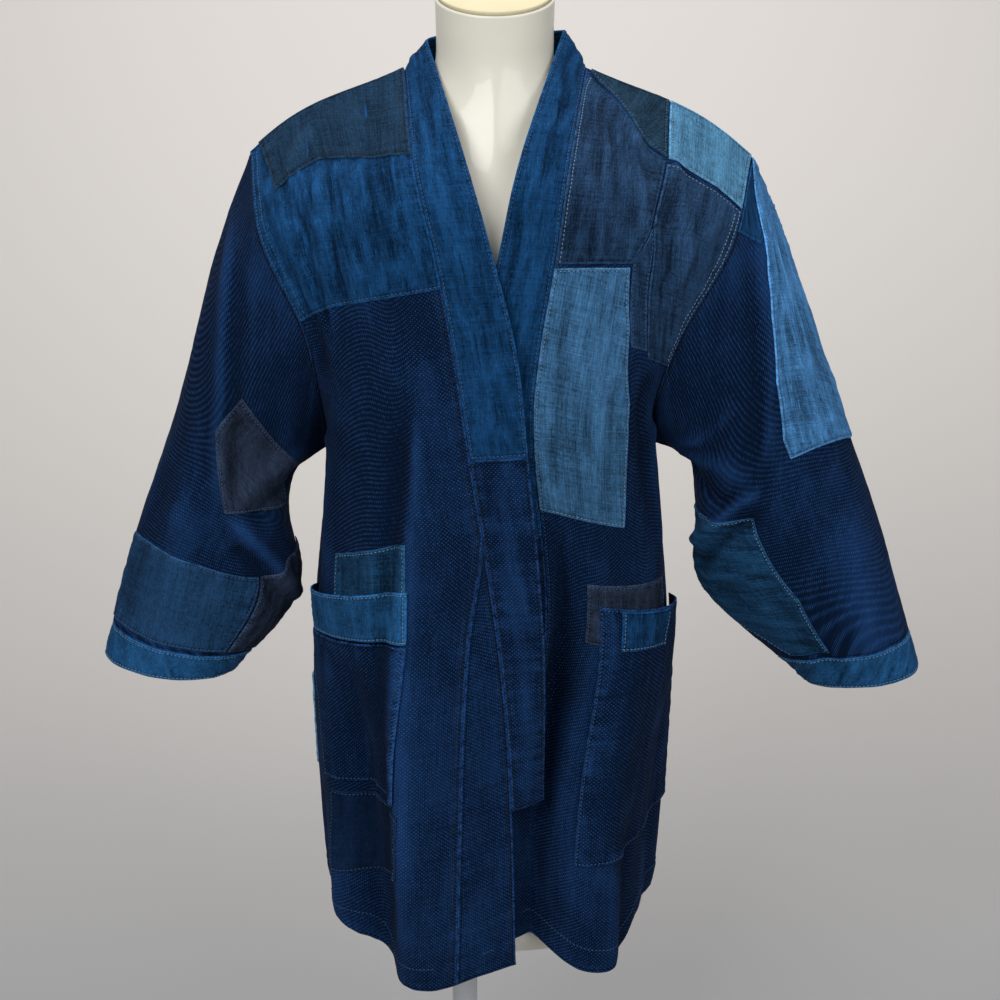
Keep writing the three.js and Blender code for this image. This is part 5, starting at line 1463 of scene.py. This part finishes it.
class BORO_OT_collar(bpy.types.Operator):
    """Builds the four lengths of the folded collar band"""

    bl_idname = "boro.collar"
    bl_label = "Build collar band"

    def execute(self, context):
        build_collar()
        return {"FINISHED"}


class BORO_OT_sleeves(bpy.types.Operator):
    """Builds both sleeves and their cuff bands"""

    bl_idname = "boro.sleeves"
    bl_label = "Build sleeves"

    def execute(self, context):
        build_sleeves()
        return {"FINISHED"}


class BORO_OT_patches(bpy.types.Operator):
    """Builds every patch that is sewn on a panel or a sleeve"""

    bl_idname = "boro.patches"
    bl_label = "Build patches"

    def execute(self, context):
        build_patches()
        return {"FINISHED"}


class BORO_OT_pockets(bpy.types.Operator):
    """Builds both pockets, which gape at their mouths"""

    bl_idname = "boro.pockets"
    bl_label = "Build pockets"

    def execute(self, context):
        build_pockets()
        return {"FINISHED"}


class BORO_OT_stitches(bpy.types.Operator):
    """Sews running stitches along seams, hems and patches"""

    bl_idname = "boro.stitches"
    bl_label = "Sew stitches"

    def execute(self, context):
        build_stitches()
        return {"FINISHED"}


class BORO_OT_form(bpy.types.Operator):
    """Builds the dress form, its neck cap and its stand"""

    bl_idname = "boro.form"
    bl_label = "Build dress form"

    def execute(self, context):
        build_form()
        return {"FINISHED"}


class BORO_OT_stage(bpy.types.Operator):
    """Builds the floor and backdrop, the lamps and the camera"""

    bl_idname = "boro.stage"
    bl_label = "Build stage"

    def execute(self, context):
        build_stage()
        return {"FINISHED"}


OPERATORS = [
    BORO_OT_fronts,
    BORO_OT_back,
    BORO_OT_collar,
    BORO_OT_sleeves,
    BORO_OT_patches,
    BORO_OT_pockets,
    BORO_OT_stitches,
    BORO_OT_form,
    BORO_OT_stage,
]


class BORO_PT_panel(bpy.types.Panel):
    """Buttons for each group of pieces."""

    bl_idname = "BORO_PT_panel"
    bl_label = "Boro jacket"
    bl_space_type = "VIEW_3D"
    bl_region_type = "UI"
    bl_category = "Boro jacket"

    def draw(self, context):
        for name in BoroJacketSettings.__annotations__:
            self.layout.prop(context.scene.boro_jacket, name)
        for made in OPERATORS:
            self.layout.operator(made.bl_idname)


def register():
    for made in (BoroJacketSettings, *OPERATORS, BORO_PT_panel):
        bpy.utils.register_class(made)
    bpy.types.Scene.boro_jacket = PointerProperty(type=BoroJacketSettings)


def unregister():
    del bpy.types.Scene.boro_jacket
    for made in (BORO_PT_panel, *reversed(OPERATORS), BoroJacketSettings):
        bpy.utils.unregister_class(made)


def main():
    register()
    for made in OPERATORS:
        getattr(bpy.ops.boro, made.bl_idname.split(".")[1])()


if __name__ == "__main__":
    main()
